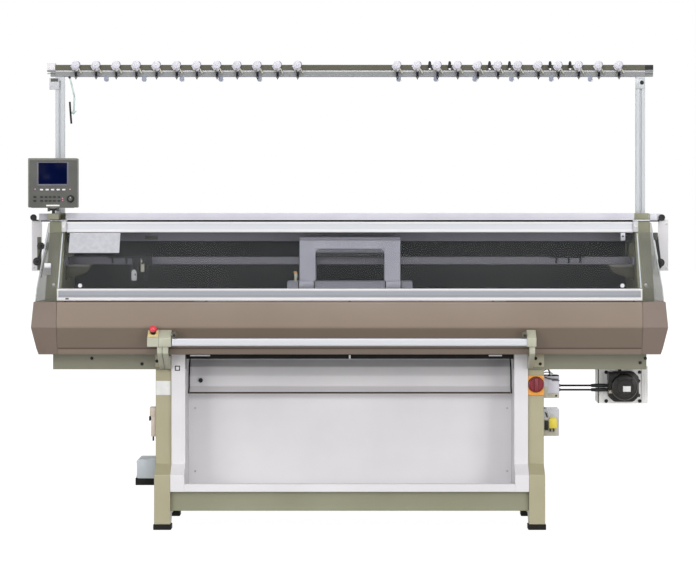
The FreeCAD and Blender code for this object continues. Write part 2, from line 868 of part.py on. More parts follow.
# Tray between the columns: front rail and floor.
inside = (-column_inner, column_inner)
tray_rail_y = (-foot_reach, tray_rail_t - foot_reach)
tray_rail = block("tray_rail", inside, tray_rail_y, (cross_top, cross_top + tray_rail_h))
tray_floor = block("tray_floor", inside, (tray_rail_t - foot_reach, 0), (cross_top, cross_top + tray_t))
node(joined("tray", [tray_rail, tray_floor]), "fabric_tray")

# Recessed lower panel with a return flange that reaches the cabinet.
panel_top = cross_top + panel_rise
panel_face = block("panel_face", inside, (0, panel_t), (cross_top, panel_top))
panel_flange = block("panel_flange", inside, (panel_t, cabinet_front), (panel_top - sheet_t, panel_top))
node(joined("panel_low", [panel_face, panel_flange]), "lower_panel")

# Control cabinet on the rear cross beam, with a door plate at the back.
cabinet_x = column_inner - cabinet_side_gap
cabinet_z = (cross_top, cross_top + cabinet_rise)
cabinet_box = block("cabinet_box", (-cabinet_x, cabinet_x), (cabinet_front, cabinet_rear), cabinet_z)
door_in = size("cabinet_door_inset", 25)
cabinet_door = block(
    "cabinet_door", (door_in - cabinet_x, cabinet_x - door_in), (cabinet_rear, cabinet_rear + sheet_t),
    (cross_top + door_in, cross_top + cabinet_rise - door_in))
node(joined("cabinet", [cabinet_box, cabinet_door]), "control_cabinet")

# ---------------------------------------------------------------- bed frame

# The front beam is shallower between the columns, where the fabric and the takedown cover come forward.
beam_z = (leg_top, deck)
beam_front_y = (-beam_reach, -beam_inner)
frame_parts = [
    block("beam_front_left", (-bed_half, -column_inner), beam_front_y, beam_z),
    block("beam_front_middle", (-column_inner, column_inner), beam_front_y, (deck - gusset_drop, deck)),
    block("beam_front_right", (column_inner, bed_half), beam_front_y, beam_z),
    block("beam_rear", (-bed_half, bed_half), (beam_inner, beam_reach), beam_z),
    block("rib_end_left", (-bed_half, beam_t - bed_half), (-beam_inner, beam_inner), beam_z),
    block("rib_end_right", (bed_half - beam_t, bed_half), (-beam_inner, beam_inner), beam_z),
    block("rib_leg_left", (-leg_outer, -leg_inner), (-beam_inner, beam_inner), beam_z),
    block("rib_leg_right", (leg_inner, leg_outer), (-beam_inner, beam_inner), beam_z),
]
for side in (-1, 1):
    guide_y = (guide_reach * side - guide_w / 2, guide_reach * side + guide_w / 2)
    frame_parts.append(block("guide", (-rail_end, rail_end), guide_y, (deck, deck + guide_h)))

# Gussets carry the needle beds: each rises from the inner face of a beam along the back of the bed.
bed_line = bed_apex + bed_gap - bed_back * 2
gusset_top = size("gusset_top_reach", 40)
gusset_neck = size("gusset_neck", 48)
gusset_outline = [
    (-beam_inner, deck - gusset_drop),
    (-beam_inner, bed_line - beam_inner),
    (-gusset_top, bed_line - gusset_top),
    (-gusset_top, bed_line - gusset_top - gusset_neck),
]
gussets = new_body("gussets_front")
gusset = add_pad(gussets, "x", gusset_outline, -gusset_end - gusset_t / 2, gusset_t)
add_row(gussets, [gusset], "X_Axis", gusset_end * 2, 3)
frame_parts.append(gussets)
frame_parts.append(mirrored("gussets_rear", gussets, (0, 1, 0)))

# Brackets for the belt pulleys, on the rear face of the rear beam.
drive_bottom = deck - drive_plate_drop
shaft_end = drive_plate_front + drive_plate_t
for side in (-1, 1):
    drive_x = (pulley_x * side - drive_plate_half, pulley_x * side + drive_plate_half)
    foot_z = (drive_bottom, drive_bottom + drive_foot_h)
    frame_parts.append(block("drive_foot", drive_x, (beam_reach, drive_plate_front), foot_z))
    plate_z = (drive_bottom, drive_bottom + drive_plate_h)
    plate = block("drive_plate", drive_x, (drive_plate_front, shaft_end), plate_z)
    bore = rod(
        "pulley_bore", "y", pulley_shaft_r + run_gap, drive_plate_front - over, shaft_end + over,
        pulley_x * side, pulley_z)
    frame_parts.append(cut("drive_plate_bored", plate, bore))
node(together("bed_frame_whole", frame_parts), "bed_frame")


# ---------------------------------------------------------------- needle beds

def needle_bed(name, side, back):
    """A grooved plate that slopes away from the gap, with a needle in every groove."""
    body = new_body(name)
    top = [(bed_gap * side, bed_apex), ((bed_gap + bed_fall) * side, bed_apex - bed_fall)]
    under = [
        ((bed_gap + bed_fall - back) * side, bed_apex - bed_fall - back),
        (bed_gap * side, bed_apex - back * 2),
    ]
    add_pad(body, "x", top + under, -needle_bed_half, needle_bed_half * 2)
    run = groove_pitch * (groove_count - 1)
    first = -run / 2
    past = size(name + "_groove_run_out", 2)
    groove_outline = [
        ((bed_gap - past) * side, bed_apex + past),
        ((bed_gap + bed_fall + past) * side, bed_apex - bed_fall - past),
        ((bed_gap + bed_fall + past) * side, bed_apex - bed_fall - past - groove_depth),
        ((bed_gap - past) * side, bed_apex + past - groove_depth),
    ]
    groove = add_pocket(body, "x", groove_outline, first - groove_w / 2, groove_w)
    grooves = add_row(body, [groove], "X_Axis", run, groove_count)
    needle_outline = [
        (bed_gap * side, bed_apex - groove_depth),
        ((bed_gap + needle_heel) * side, bed_apex - needle_heel - groove_depth),
        ((bed_gap + needle_heel) * side, bed_apex - needle_heel + needle_rise),
        ((bed_gap + needle_heel - needle_hook) * side, bed_apex - needle_heel + needle_rise + needle_hook),
        ((bed_gap + needle_heel - needle_hook) * side, bed_apex - needle_heel),
        (bed_gap * side, bed_apex - needle_hook),
    ]
    needle = add_pad(body, "x", needle_outline, first - needle_w / 2, needle_w)
    add_row(body, [needle], "X_Axis", run, groove_count)
    return body


node(needle_bed("bed_front", -1, bed_back), "front_needle_bed")
node(needle_bed("bed_rear", 1, bed_back - free_gap / 2), "rear_needle_bed")


# ---------------------------------------------------------------- covers

def long_cover(name, side, rib_foot):
    """A sheet cover of five flats with stiffening ribs inside; a rib's foot starts at rib_foot."""
    outer = [
        (ledge_reach * side, cover_top),
        (cover_reach * side, cover_top),
        (ridge_reach * side, ridge_z),
        (fold_reach * side, fold_z),
        (lip_reach * side, lip_z),
        (beam_reach * side, lip_z),
    ]
    inner = [
        (beam_reach * side, lip_z + sheet_t),
        ((lip_reach - sheet_t) * side, lip_z + sheet_t),
        ((fold_reach - sheet_t) * side, fold_z),
        ((ridge_reach - sheet_t) * side, ridge_z),
        ((cover_reach - sheet_t) * side, cover_top - sheet_t),
        (ledge_reach * side, cover_top - sheet_t),
    ]
    inner_back = inner[::-1]
    pieces = []
    for i in range(len(outer) - 1):
        flat = [outer[i], outer[i + 1], inner_back[i + 1], inner_back[i]]
        pieces.append(prism(name + "_flat", "x", flat, -cover_half, cover_half * 2))
    ribs = new_body(name + "_ribs")
    rib_outline = [(rib_foot * side, lip_z + sheet_t)] + inner[1:]
    rib = add_pad(ribs, "x", rib_outline, -rib_pitch - rib_t / 2, rib_t)
    add_row(ribs, [rib], "X_Axis", rib_pitch * 2, 3)
    return together(name, pieces + [ribs])


node(long_cover("cover_front", -1, beam_reach), "front_cover")
node(long_cover("cover_rear", 1, ledge_reach), "rear_cover")


# End cap: the same folds wrapped round the end, as a thin shell open at the inner end. Its mitred corners
# come from the long section and the end section, each carried right through and kept where they meet.
def cap_solid(name, less):
    """The cap's outside, or its hollow when less is the wall."""
    top_z = cover_top - less
    bottom_z = lip_z - less / sheet_t.value
    reach = [(lip_reach, bottom_z), (fold_reach, fold_z), (ridge_reach, ridge_z), (cover_reach, top_z)]
    width = [(cap_lip_w, bottom_z), (cap_fold_w, fold_z), (cap_ridge_w, ridge_z), (cap_top_w, top_z)]
    long_outline = both_ways([(less - y, z) for y, z in reach])
    inner_x = cover_half + cap_seam - less
    end_outline = [(cover_half + x - less, z) for x, z in width] + [(inner_x, top_z), (inner_x, bottom_z)]
    meeting = doc.addObject("Part::MultiCommon", name)
    meeting.Shapes = [
        prism(name + "_long", "x", long_outline, inner_x, cap_ridge_w),
        prism(name + "_end", "y", end_outline, -ridge_reach, ridge_reach * 2),
    ]
    return meeting


cap_outer = cap_solid("cap_outer", 0)
cap_inner = cap_solid("cap_inner", sheet_t)
cap_mouth = block(
    "cap_mouth", (cover_half - over, arm_outer), (-ledge_reach, ledge_reach),
    (cover_top - sheet_t * 2, cover_top + over))
cap = cut("cap_right", cap_outer, joined("cap_hollow", [cap_inner, cap_mouth]))
node(cap, "right_end_cap")
node(mirrored("cap_left", cap), "left_end_cap")

# ---------------------------------------------------------------- side arms, table and rails

# Side arm: stands on the end of the bed frame, leans back with the window and carries the table.
arm_waist = deck + arm_waist_rise
arm_shoulder = deck + arm_shoulder_rise
arm_outline = [
    (-beam_reach, deck),
    (-ledge_reach, arm_waist),
    (-ledge_reach, arm_shoulder),
    (-arm_nose, table_bottom - arm_nose_drop),
    (-arm_nose, table_bottom),
    (-arm_block_front, table_bottom),
    (-arm_block_front, table_top),
    (ledge_reach, table_top),
    (ledge_reach, arm_waist),
    (beam_reach, deck),
]
arm = new_body("arm_right")
add_pad(arm, "x", arm_outline, arm_inner, arm_t)
hole_z = (deck + arm_hole_bottom, deck + arm_hole_bottom + arm_hole_h)
arm_hole = add_pocket(arm, "x", rect((-arm_hole_front, arm_hole_rear), hole_z), arm_inner, arm_t)


def in_arm_hole(edge):
    centre = edge.CenterOfMass
    return (along(edge, "x") and abs(centre.y) < arm_hole_rear.value + 1
            and hole_z[0].value - over < centre.z < hole_z[1].value + over)


add_round(arm, arm_hole, arm_hole_corner, in_arm_hole)
node(arm, "right_side_arm")
node(mirrored("arm_left", arm), "left_side_arm")

# Dark closing panel behind the arms; its sides lean in with the side windows.
back_foot = side_glass_foot - side_glass_t - side_glass_gap * 2
back_outline = both_ways([(-back_foot, cover_top), (side_glass_gap * 3 - arm_outer, table_bottom)])
node(prism("back", "y", back_outline, ledge_reach, back_t), "back_panel")

# Yarn table: a shallow tray.
table_x = (-arm_inner, arm_inner)
table_block = block("table_block", table_x, (-table_front, table_rear), (table_bottom, table_top))
table_hollow = block(
    "table_hollow", (sheet_t - arm_inner, arm_inner - sheet_t),
    (sheet_t - table_front, table_rear - sheet_t), (table_bottom + sheet_t, table_top + over))
node(cut("table", table_block, table_hollow), "yarn_table")

# Upper grey rail between the arms.
node(block("rail_upper", table_x, (upper_rail_front, upper_rail_front + upper_rail_t),
           (deck + upper_rail_rise, deck + upper_rail_rise + upper_rail_h)), "upper_rail")

# Four carrier rails over the beds, held by a crossbar at each end.
rail_parts = []
rail_places = (-1.5, -0.5, 0.5, 1.5)
for place in rail_places:
    rail_y = (rail_pitch * place - rail_t / 2, rail_pitch * place + rail_t / 2)
    rail_parts.append(block("rail", (-rail_end, rail_end), rail_y, (rail_bottom, rail_top)))
crossbar_y = (-crossbar_front, crossbar_rear)
rail_parts.append(block("crossbar", (-arm_inner, -rail_end), crossbar_y, (rail_bottom, rail_top)))
rail_parts.append(block("crossbar", (rail_end, arm_inner), crossbar_y, (rail_bottom, rail_top)))
node(joined("rails", rail_parts), "carrier_rails")

# ---------------------------------------------------------------- windows

node(rod("hinge", "x", hinge_r, -arm_outer, arm_outer, -hinge_y, hinge_z), "window_hinge_rod")

# Upper rail of the front window, with three bored knuckle blocks on the hinge rod.
top_rail = block(
    "top_rail", (-top_rail_half, top_rail_half), (-top_rail_front, top_rail_t - top_rail_front),
    (top_rail_bottom, top_rail_top))
knuckles = new_body("knuckles")
first_knuckle = -knuckle_pitch - knuckle_len / 2
knuckle_y = (-hinge_y - knuckle_front, knuckle_half - hinge_y)
knuckle = add_pad(
    knuckles, "x", rect(knuckle_y, (top_rail_top - over, hinge_z + knuckle_half)), first_knuckle, knuckle_len)
add_row(knuckles, [knuckle], "X_Axis", knuckle_pitch * 2, 3)
hinge_bore = rod("hinge_bore", "x", hinge_r + run_gap, -arm_inner, arm_inner, -hinge_y, hinge_z)
top_rail_whole = joined("top_rail_knuckled", [top_rail, knuckles])
node(cut("top_rail_bored", top_rail_whole, hinge_bore), "window_top_rail")

# Clear sheet from the lower rail to the upper one.
glass_outline = [
    (-low_glass_y, low_rail_top),
    (glass_t - low_glass_y, low_rail_top),
    (glass_t - top_rail_front, top_rail_bottom),
    (-top_rail_front, top_rail_bottom),
]
node(prism("glass", "x", glass_outline, -glass_half, glass_half * 2), "front_window")

# Lower rail: extruded bar with a wide groove along its face.
low_rail = block(
    "low_rail", (-glass_half, glass_half), (-low_rail_front, low_rail_t - low_rail_front),
    (low_rail_bottom, low_rail_top))
low_groove = block(
    "low_groove", (-glass_half - over, glass_half + over),
    (-low_rail_front - over, low_rail_groove - low_rail_front),
    (low_rail_bottom + low_rail_edge, low_rail_top - low_rail_edge))
node(cut("low_rail_grooved", low_rail, low_groove), "window_lower_rail")

# Side window: a sheet that leans in towards the top, with a strip round the front corner.
lean_run = side_glass_foot - side_glass_t - side_glass_gap - arm_outer
lean_glass = prism("lean_glass", "x", [
    (-low_glass_y, side_glass_gap),
    (-low_glass_y, low_rail_top - cover_top),
    (-top_rail_front, top_rail_bottom - cover_top),
    (top_rail_t - top_rail_front, side_glass_h),
    (ledge_reach + back_t, side_glass_h),
    (ledge_reach + back_t, side_glass_gap),
], -side_glass_t, side_glass_t)
lean_angle = math.degrees(math.atan(lean_run.value / side_glass_h.value))
lean_glass.Placement = Placement(Vector(0, 0, 0), Rotation(Vector(0, -1, 0), lean_angle))
lean_formula = "atan(%s / %s)" % (lean_run.formula, side_glass_h.formula)
lean_glass.setExpression("Placement.Rotation.Angle", lean_formula)
set_base(lean_glass, side_glass_foot, 0, cover_top)
corner_strip = prism("corner_strip", "x", [
    (-low_glass_y, cover_top),
    (-low_glass_y, low_rail_top),
    (-top_rail_front, top_rail_bottom),
    (glass_t - top_rail_front, top_rail_bottom),
    (glass_t - low_glass_y, low_rail_top),
    (glass_t - low_glass_y, cover_top),
], glass_half + low_rail_gap, side_glass_foot - glass_half)
wedge_foot = side_glass_foot - side_glass_t / 2
wedge = prism("corner_wedge", "y", [
    (glass_half + low_rail_gap, cover_top),
    (wedge_foot, cover_top),
    (wedge_foot - lean_run, cover_top + side_glass_h),
    (glass_half + low_rail_gap, cover_top + side_glass_h),
], -low_rail_front, low_rail_front)
corner = doc.addObject("Part::MultiCommon", "corner_trimmed")
corner.Shapes = [corner_strip, wedge]
side_glass = joined("side_glass_right", [lean_glass, corner])
node(side_glass, "right_side_window")
node(mirrored("side_glass_left", side_glass), "left_side_window")

# ---------------------------------------------------------------- yarn stand

# Slotted square posts; the left one carries a small bracket near its top.
posts = []
post_y_span = (post_front, post_y + post_w / 2)
for side in (-1, 1):
    post_x_span = (post_x * side - post_w / 2, post_x * side + post_w / 2)
    post = block("post", post_x_span, post_y_span, (table_top, post_top))
    slot_x = (post_x * side - slot_w / 2, post_x * side + slot_w / 2)
    slot_y = (post_y - slot_w / 2, post_y + slot_w / 2)
    post_z = (table_top - over, post_top - slot_w * 2)
    slots = [
        block("slot", slot_x, (post_front - over, post_front + slot_depth), post_z),
        block("slot", slot_x, (post_y + post_w / 2 - slot_depth, post_y + post_w / 2 + over), post_z),
        block("slot", (post_x_span[0] - over, post_x_span[0] + slot_depth), slot_y, post_z),
        block("slot", (post_x_span[1] - slot_depth, post_x_span[1] + over), slot_y, post_z),
    ]
    posts.append(cut("post_slotted", post, together("slots", slots)))
node(together("posts", posts), "stand_posts")

# Top bar with its end blocks.
end_block_w = size("end_block_width", 37)
end_block_over = size("end_block_overlap", 7)
end_bottom = bar_top - end_block_over
bar_y = post_y_span
top_bar_parts = [
    block("bar", (-bar_half, bar_half), bar_y, (post_top, bar_top)),
    block("end_left", (-bar_half - end_block_w, -bar_half), bar_y, (end_bottom, strip_top + end_block_over)),
    block("end_right", (bar_half, bar_half + end_block_w), bar_y, (end_bottom, strip_top)),
]
node(together("bar_with_ends", top_bar_parts), "top_bar")
strip_y = (strip_front, post_y + post_w / 2 + strip_over)
node(block("strip", (-bar_half, bar_half), strip_y, (bar_top, strip_top)), "tension_plate")


# Yarn tension units: clip, disc pair and eye, twelve on each half of the strip.
def tension_row(name, start):
    """Twelve units from a start position to the right."""
    body = new_body(name)
    clip_x = (start - clip_w / 2, start + clip_w / 2)
    clip = add_pad(
        body, "y", rect(clip_x, (strip_top - clip_h, strip_top)), strip_front - clip_t, clip_t)
    rim = ring_points((start, disc_z), disc_r, disc_sides)
    disc = add_pad(body, "y", rim, strip_front - clip_t - disc_t, disc_t)
    eye_outline = [
        (start - clip_w / 2, strip_top - clip_h),
        (start + clip_w / 2, strip_top - clip_h),
        (start + eye_w, strip_top - clip_h - eye_drop),
    ]
    eye = add_pad(body, "y", eye_outline, strip_front - clip_t, eye_w)
    add_row(body, [clip, disc, eye], "X_Axis", unit_pitch * (unit_count - 1), unit_count)
    return body


units_left = tension_row("units_left", -unit_start - unit_pitch * (unit_count - 1))
units_right = tension_row("units_right", unit_start)
node(together("units", [units_left, units_right]), "tension_units")

# Side devices at the table ends: block and plate, and a dark arm with a disc and a teardrop knob.
side_z = table_bottom + side_block_h
side_block = block(
    "side_block", (arm_outer, side_plate_inner + side_arm_w), (-side_plate_front, side_plate_front),
    (table_bottom, side_z))
side_plate_y = (-side_plate_front - side_plate_t, -side_plate_front)
side_plate_z = (table_bottom - side_plate_drop, table_bottom)
side_plate = block("side_plate", (side_plate_inner, side_plate_outer), side_plate_y, side_plate_z)
side_tab_x = (arm_outer, side_plate_inner + side_arm_w)
side_tab = block("side_tab", side_tab_x, side_plate_y, (table_bottom - over, side_z))
side_plate_whole = joined("side_plate_whole", [side_block, side_plate, side_tab])
node(together("side_plates", [side_plate_whole, mirrored("side_plate_left", side_plate_whole)]),
     "side_tension_plates")

arm_face = side_plate_y[0]
arm_foot_z = table_bottom - side_plate_drop + side_disc_r * 2
arm_foot_x = side_plate_inner + side_disc_r
arm_head_z = table_bottom
side_arm = prism("side_arm", "y", [
    (arm_foot_x - side_arm_w / 2, arm_foot_z),
    (arm_foot_x + side_arm_w / 2, arm_foot_z),
    (side_plate_inner + side_arm_w, arm_head_z),
    (side_plate_inner, arm_head_z),
], arm_face - side_arm_t, side_arm_t)
disc_ring = ring_points((arm_foot_x, arm_foot_z), side_disc_r, knob_sides)
side_disc = prism("side_disc", "y", disc_ring, arm_face - side_disc_t, side_disc_t)
knob_z = table_bottom + side_knob_rise
knob_ring = ring_points((side_knob_x, knob_z), side_knob_r, knob_sides)
side_knob = prism("side_knob", "y", knob_ring, arm_face - side_disc_t, side_disc_t)
side_neck = prism("side_neck", "y", [
    (side_plate_inner, table_bottom - side_knob_neck),
    (side_plate_inner + side_knob_neck * 2, table_bottom - side_knob_neck),
    (side_knob_x + side_knob_neck, knob_z - side_knob_neck),
    (side_knob_x - side_knob_neck, knob_z + side_knob_neck),
    (side_plate_inner, table_bottom + side_knob_neck),
], arm_face - side_arm_t, side_arm_t)
side_arm_whole = joined("side_arm_whole", [side_arm, side_disc, side_knob, side_neck])
side_arm_pair = [side_arm_whole, mirrored("side_arm_left", side_arm_whole)]
node(together("side_arms", side_arm_pair), "side_tension_arms")

# ---------------------------------------------------------------- start bar, brackets, stop button

head_outline = [
    (-head_front, head_bottom),
    (-head_front, head_lip),
    (-head_rear, head_peak),
    (-head_rear, head_bottom),
]
bracket_head = prism("bracket_head", "x", head_outline, head_inner, head_outer - head_inner)
bracket_neck = size("bracket_neck", 30)
bracket_foot = size("bracket_foot_height", 58)
bracket_arm = prism("bracket_arm", "x", [
    (-head_front + bracket_neck / 3, head_bottom + over),
    (-head_rear - over, head_bottom + over),
    (-head_rear - over, head_bottom - bracket_neck / 2),
    (-lip_reach - bracket_neck, bracket_elbow),
    (-beam_reach, bracket_elbow),
    (-beam_reach, bracket_elbow - bracket_foot),
    (-beam_reach - bracket_neck, bracket_elbow - bracket_foot),
    (-head_front + bracket_neck / 3, head_bottom - bracket_neck),
], bracket_arm_inner, head_outer - bracket_arm_inner)
pin_bore = rod(
    "bar_pin_bore", "x", bar_pin_r + run_gap, head_inner - over, head_inner + bar_pin_in + bore_clear,
    -bar_pivot_y, bar_pivot_z)
bracket = cut("bracket_right", joined("bracket_solid", [bracket_head, bracket_arm]), pin_bore)
node(together("brackets", [bracket, mirrored("bracket_left", bracket)]), "bar_brackets")

# Stop-button box beside the left bracket, with the same sloping top.
slope_y = -(head_front + head_rear) / 2
slope_z = (head_lip + head_peak) / 2
stop_x = -(head_outer + stop_outer) / 2


def on_slope(name, radius, low, high, sides=0):
    """A round bar square to the sloping top of the stop box, measured outwards from its surface."""
    item = round_bar(name, radius, high - low, sides)
    item.Placement = Placement(Vector(0, 0, 0), Rotation(Vector(1, 0, 0), stop_tilt.value))
    item.setExpression("Placement.Rotation.Angle", stop_tilt.formula)
    lean = math.radians(stop_tilt.value)
    set_base(item, stop_x, slope_y - low * math.sin(lean), slope_z + low * math.cos(lean))
    return item


stop_box = prism("stop_box", "x", head_outline, -stop_outer, stop_outer - head_outer)
stop_hole = on_slope("stop_hole", stop_stem_r + run_gap, -stop_bore, stop_bore)
node(cut("stop_box_bored", stop_box, stop_hole), "stop_button_box")
stop_stem = on_slope("stop_stem", stop_stem_r, -stop_depth, stop_lift + over, shaft_sides)
stop_cap = on_slope("stop_cap", stop_cap_r, stop_lift, stop_lift + stop_cap_t, wheel_sides)
node(joined("stop", [stop_stem, stop_cap]), "stop_button")

# Start bar: hangs on pins in the bracket heads.
bar_rear = bar_depth - bar_face
bar_top_z = bar_bottom + bar_height
bar_body = new_body("bar_body")
bar_pad = add_pad(
    bar_body, "x", rect((-bar_face, bar_rear), (bar_bottom, bar_top_z)), -bar_end, bar_end * 2)
add_round(bar_body, bar_pad, bar_round, lambda edge: along(edge, "x"))
lug_outline = [
    (-bar_face + bar_round, bar_top_z - bar_round),
    (bar_rear, bar_top_z - bar_round * 2),
    (bar_lug_r - bar_pivot_y, bar_pivot_z - bar_lug_r / 2),
    (bar_lug_r - bar_pivot_y, bar_pivot_z + bar_lug_r / 2),
    (bar_lug_r / 2 - bar_pivot_y, bar_pivot_z + bar_lug_r),
    (-bar_lug_r / 2 - bar_pivot_y, bar_pivot_z + bar_lug_r),
]
bar_parts = [bar_body]
for side in (-1, 1):
    inner_x = (bar_end - bar_lug_t) * side
    lug_start = min((inner_x, bar_end * side), key=number_of)
    bar_parts.append(prism("bar_lug", "x", lug_outline, lug_start, bar_lug_t))
    pin_ends = sorted((inner_x, (head_inner + bar_pin_in) * side), key=number_of)
    bar_parts.append(rod(
        "bar_pin", "x", bar_pin_r, pin_ends[0], pin_ends[1], -bar_pivot_y, bar_pivot_z, shaft_sides))
node(joined("bar_with_lugs", bar_parts), "start_bar")

# ---------------------------------------------------------------- main switch, boxes, motor, suction

switch_x = leg_middle
switch_face = -leg_reach - switch_t
switch_plate = block(
    "plate_switch", (leg_inner, leg_outer), (switch_face, -leg_reach),
    (switch_z - switch_plate_down, switch_z + switch_plate_up))
switch_bore = rod(
    "switch_bore", "y", switch_shaft_r + run_gap, switch_face - over, -leg_reach - over, switch_x, switch_z)
node(cut("plate_switch_bored", switch_plate, switch_bore), "switch_plate")
rotor_back = switch_face - free_gap
rotor_face = rotor_back - switch_rotor_t
rotor_disc = rod("rotor_disc", "y", switch_r, rotor_face, rotor_back, switch_x, switch_z, wheel_sides)
rotor_shaft = rod(
    "rotor_shaft", "y", switch_shaft_r, rotor_back - over, switch_face + switch_shaft_in,
    switch_x, switch_z, shaft_sides)
rotor_grip = block(
    "rotor_grip", (switch_x - switch_grip_w / 2, switch_x + switch_grip_w / 2),
    (rotor_face - switch_grip_t, rotor_face + over),
    (switch_z - switch_grip_half, switch_z + switch_grip_half))
node(joined("rotor", [rotor_disc, rotor_shaft, rotor_grip]), "main_switch_rotor")

box_x = (leg_outer, leg_outer + box_w)
box_y = (-box_front, -box_rear)
upper_box = block("box_upper", box_x, box_y, (box_upper_bottom, box_upper_bottom + box_upper_h))
lower_box = block("box_lower", box_x, box_y, (box_lower_bottom, box_lower_bottom + box_lower_h))
node(together("boxes", [upper_box, lower_box]), "terminal_boxes")

# Drive housing: a deep extruded block under the end of the bed frame.
housing = new_body("housing")
housing_pad = add_pad(
    housing, "y", rect((housing_left, housing_right), (housing_bottom, leg_top)), 0, housing_depth)
add_round(housing, housing_pad, housing_corner,
          lambda edge: along(edge, "y") and edge.CenterOfMass.z < housing_bottom.value + over)
node(housing, "motor_bracket")

# Motor: flange with cut corners, stepped round can, and two plugs on its left side.
flange_outline = [
    (motor_x - motor_half + motor_cut, motor_z - motor_half),
    (motor_x + motor_half - motor_cut, motor_z - motor_half),
    (motor_x + motor_half, motor_z - motor_half + motor_cut),
    (motor_x + motor_half, motor_z + motor_half - motor_cut),
    (motor_x + motor_half - motor_cut, motor_z + motor_half),
    (motor_x - motor_half + motor_cut, motor_z + motor_half),
    (motor_x - motor_half, motor_z + motor_half - motor_cut),
    (motor_x - motor_half, motor_z - motor_half + motor_cut),
]
motor_flange = prism("motor_flange", "y", flange_outline, -motor_flange_t, motor_flange_t)
can_face = -motor_flange_t - motor_can_t
motor_parts = [
    motor_flange,
    rod("motor_can", "y", motor_can_r, can_face, -motor_flange_t + over, motor_x, motor_z),
]
flange_left = motor_x - motor_half
plug_left = flange_left - plug_len
cable_parts = []
for place in (-0.5, 0.5):
    plug_z = box_upper_bottom + box_upper_h / 2 - plug_pitch * place - plug_pitch / 2
    motor_parts.append(block(
        "plug", (plug_left, flange_left + over), (-plug_y - plug_half, plug_half - plug_y),
        (plug_z - plug_half, plug_z + plug_half)))
    cable_parts.append(rod("cable", "x", cable_r, leg_outer + box_w, plug_left, -plug_y, plug_z))
node(joined("motor", motor_parts), "drive_motor")
node(together("cables", cable_parts), "motor_cables")

# Suction unit on the outer side of the left leg.
suction_x = (-leg_outer - suction_w, -leg_outer)
suction_y = (-suction_front, suction_rear)
suction_top = suction_bottom + suction_h
suction_parts = [
    block("suction_box", suction_x, suction_y, (suction_bottom, suction_top)),
    block("suction_base", (suction_x[0], suction_x[1] - suction_base_in),
          (suction_y[0] + suction_base_in, suction_y[1] - suction_base_in),
          (suction_bottom - suction_base_h, suction_bottom)),
    block("suction_bump", (suction_x[1] - suction_bump_w, suction_x[1]),
          (suction_y[0], suction_y[0] + suction_w), (suction_top, suction_top + suction_bump_h)),
]
node(joined("suction", suction_parts), "suction_unit")

# ---------------------------------------------------------------- carriage

cam_line = bed_apex + bed_gap + cam_gap
guide_top = deck + guide_h + free_gap


def carriage_outline(side):
    """Section of one half of the carriage: sloping cam face over the bed, foot over the guide."""
    return [
        (carriage_inner * side, cam_line - carriage_inner),
        (carriage_inner * side, carriage_top),
        (carriage_shoulder * side, carriage_top),
        (carriage_outer * side, bed_apex - carriage_skirt),
        (carriage_outer * side, guide_top),
        ((cam_line - guide_top) * side, guide_top),
    ]


carriage_x = carriage_half * 2
node(prism("carriage_front", "x", carriage_outline(-1), -carriage_half, carriage_x), "front_carriage")

# The rear half grips the upper run of the belt with a slotted clamp.
carriage_rear = prism("carriage_rear_body", "x", carriage_outline(1), -carriage_half, carriage_x)
belt_low = pulley_z + pulley_r + free_gap
clamp_block = block(
    "clamp_block", (-clamp_half, clamp_half), (clamp_front - over, clamp_rear),
    (belt_low - clamp_jaw, belt_low + belt_t + clamp_jaw))
clamp_gap = size("belt_clamp_gap", 0.5)
clamp_slot = block(
    "clamp_slot", (-clamp_half - over, clamp_half + over), (pulley_front - belt_side, clamp_rear + over),
    (belt_low - clamp_gap, belt_low + belt_t + clamp_gap))
clamp = cut("clamp", clamp_block, clamp_slot)
node(joined("carriage_rear_whole", [carriage_rear, clamp]), "rear_carriage")

# Arch between the two halves: open along X for the carrier rails and along Y for sight of the beds.
arch_block = block(
    "arch_block", (-arch_half, arch_half), (-arch_outer, arch_outer), (carriage_top, arch_top))
arch_passage = block(
    "arch_passage", (-arch_half - over, arch_half + over), (-arch_inner, arch_inner),
    (carriage_top - over, arch_top - arch_ceiling))
arch_opening = block(
    "arch_opening", (-arch_window, arch_window), (-arch_outer - over, arch_outer + over),
    (carriage_top - over, arch_top - arch_beam))
node(cut("arch", arch_block, joined("arch_voids", [arch_passage, arch_opening])), "carriage_arch")


# ---------------------------------------------------------------- belt drive

def pulley(name, side):
    """A pulley with a flat for each tooth of the belt, and its shaft running in the bracket behind it."""
    rim = ring_points((pulley_x * side, pulley_z), pulley_r, pulley_sides)
    wheel = prism(name + "_wheel", "y", rim, pulley_front, pulley_w)
    shaft = rod(
        name + "_shaft", "y", pulley_shaft_r, pulley_rear - over, shaft_end,
        pulley_x * side, pulley_z, shaft_sides)
    return joined(name, [wheel, shaft])


node(pulley("pulley_right", 1), "drive_pulley")
node(pulley("pulley_left", -1), "idler_pulley")


def racetrack(name, radius, y):
    """A straight-sided loop outline round both pulleys, filled."""
    ends = [rod(name + "_end", "y", radius, y[0], y[1], pulley_x * side, pulley_z) for side in (-1, 1)]
    middle = block(name + "_middle", (-pulley_x, pulley_x), y, (pulley_z - radius, pulley_z + radius))
    return joined(name, ends + [middle])


belt_y = (pulley_front, pulley_rear)
belt_outer = racetrack("belt_outer", pulley_r + free_gap + belt_t, belt_y)
belt_inner = racetrack("belt_inner", pulley_r + free_gap, (pulley_front - over, pulley_rear + over))
node(cut("belt", belt_outer, belt_inner), "drive_belt")

# ---------------------------------------------------------------- takedown


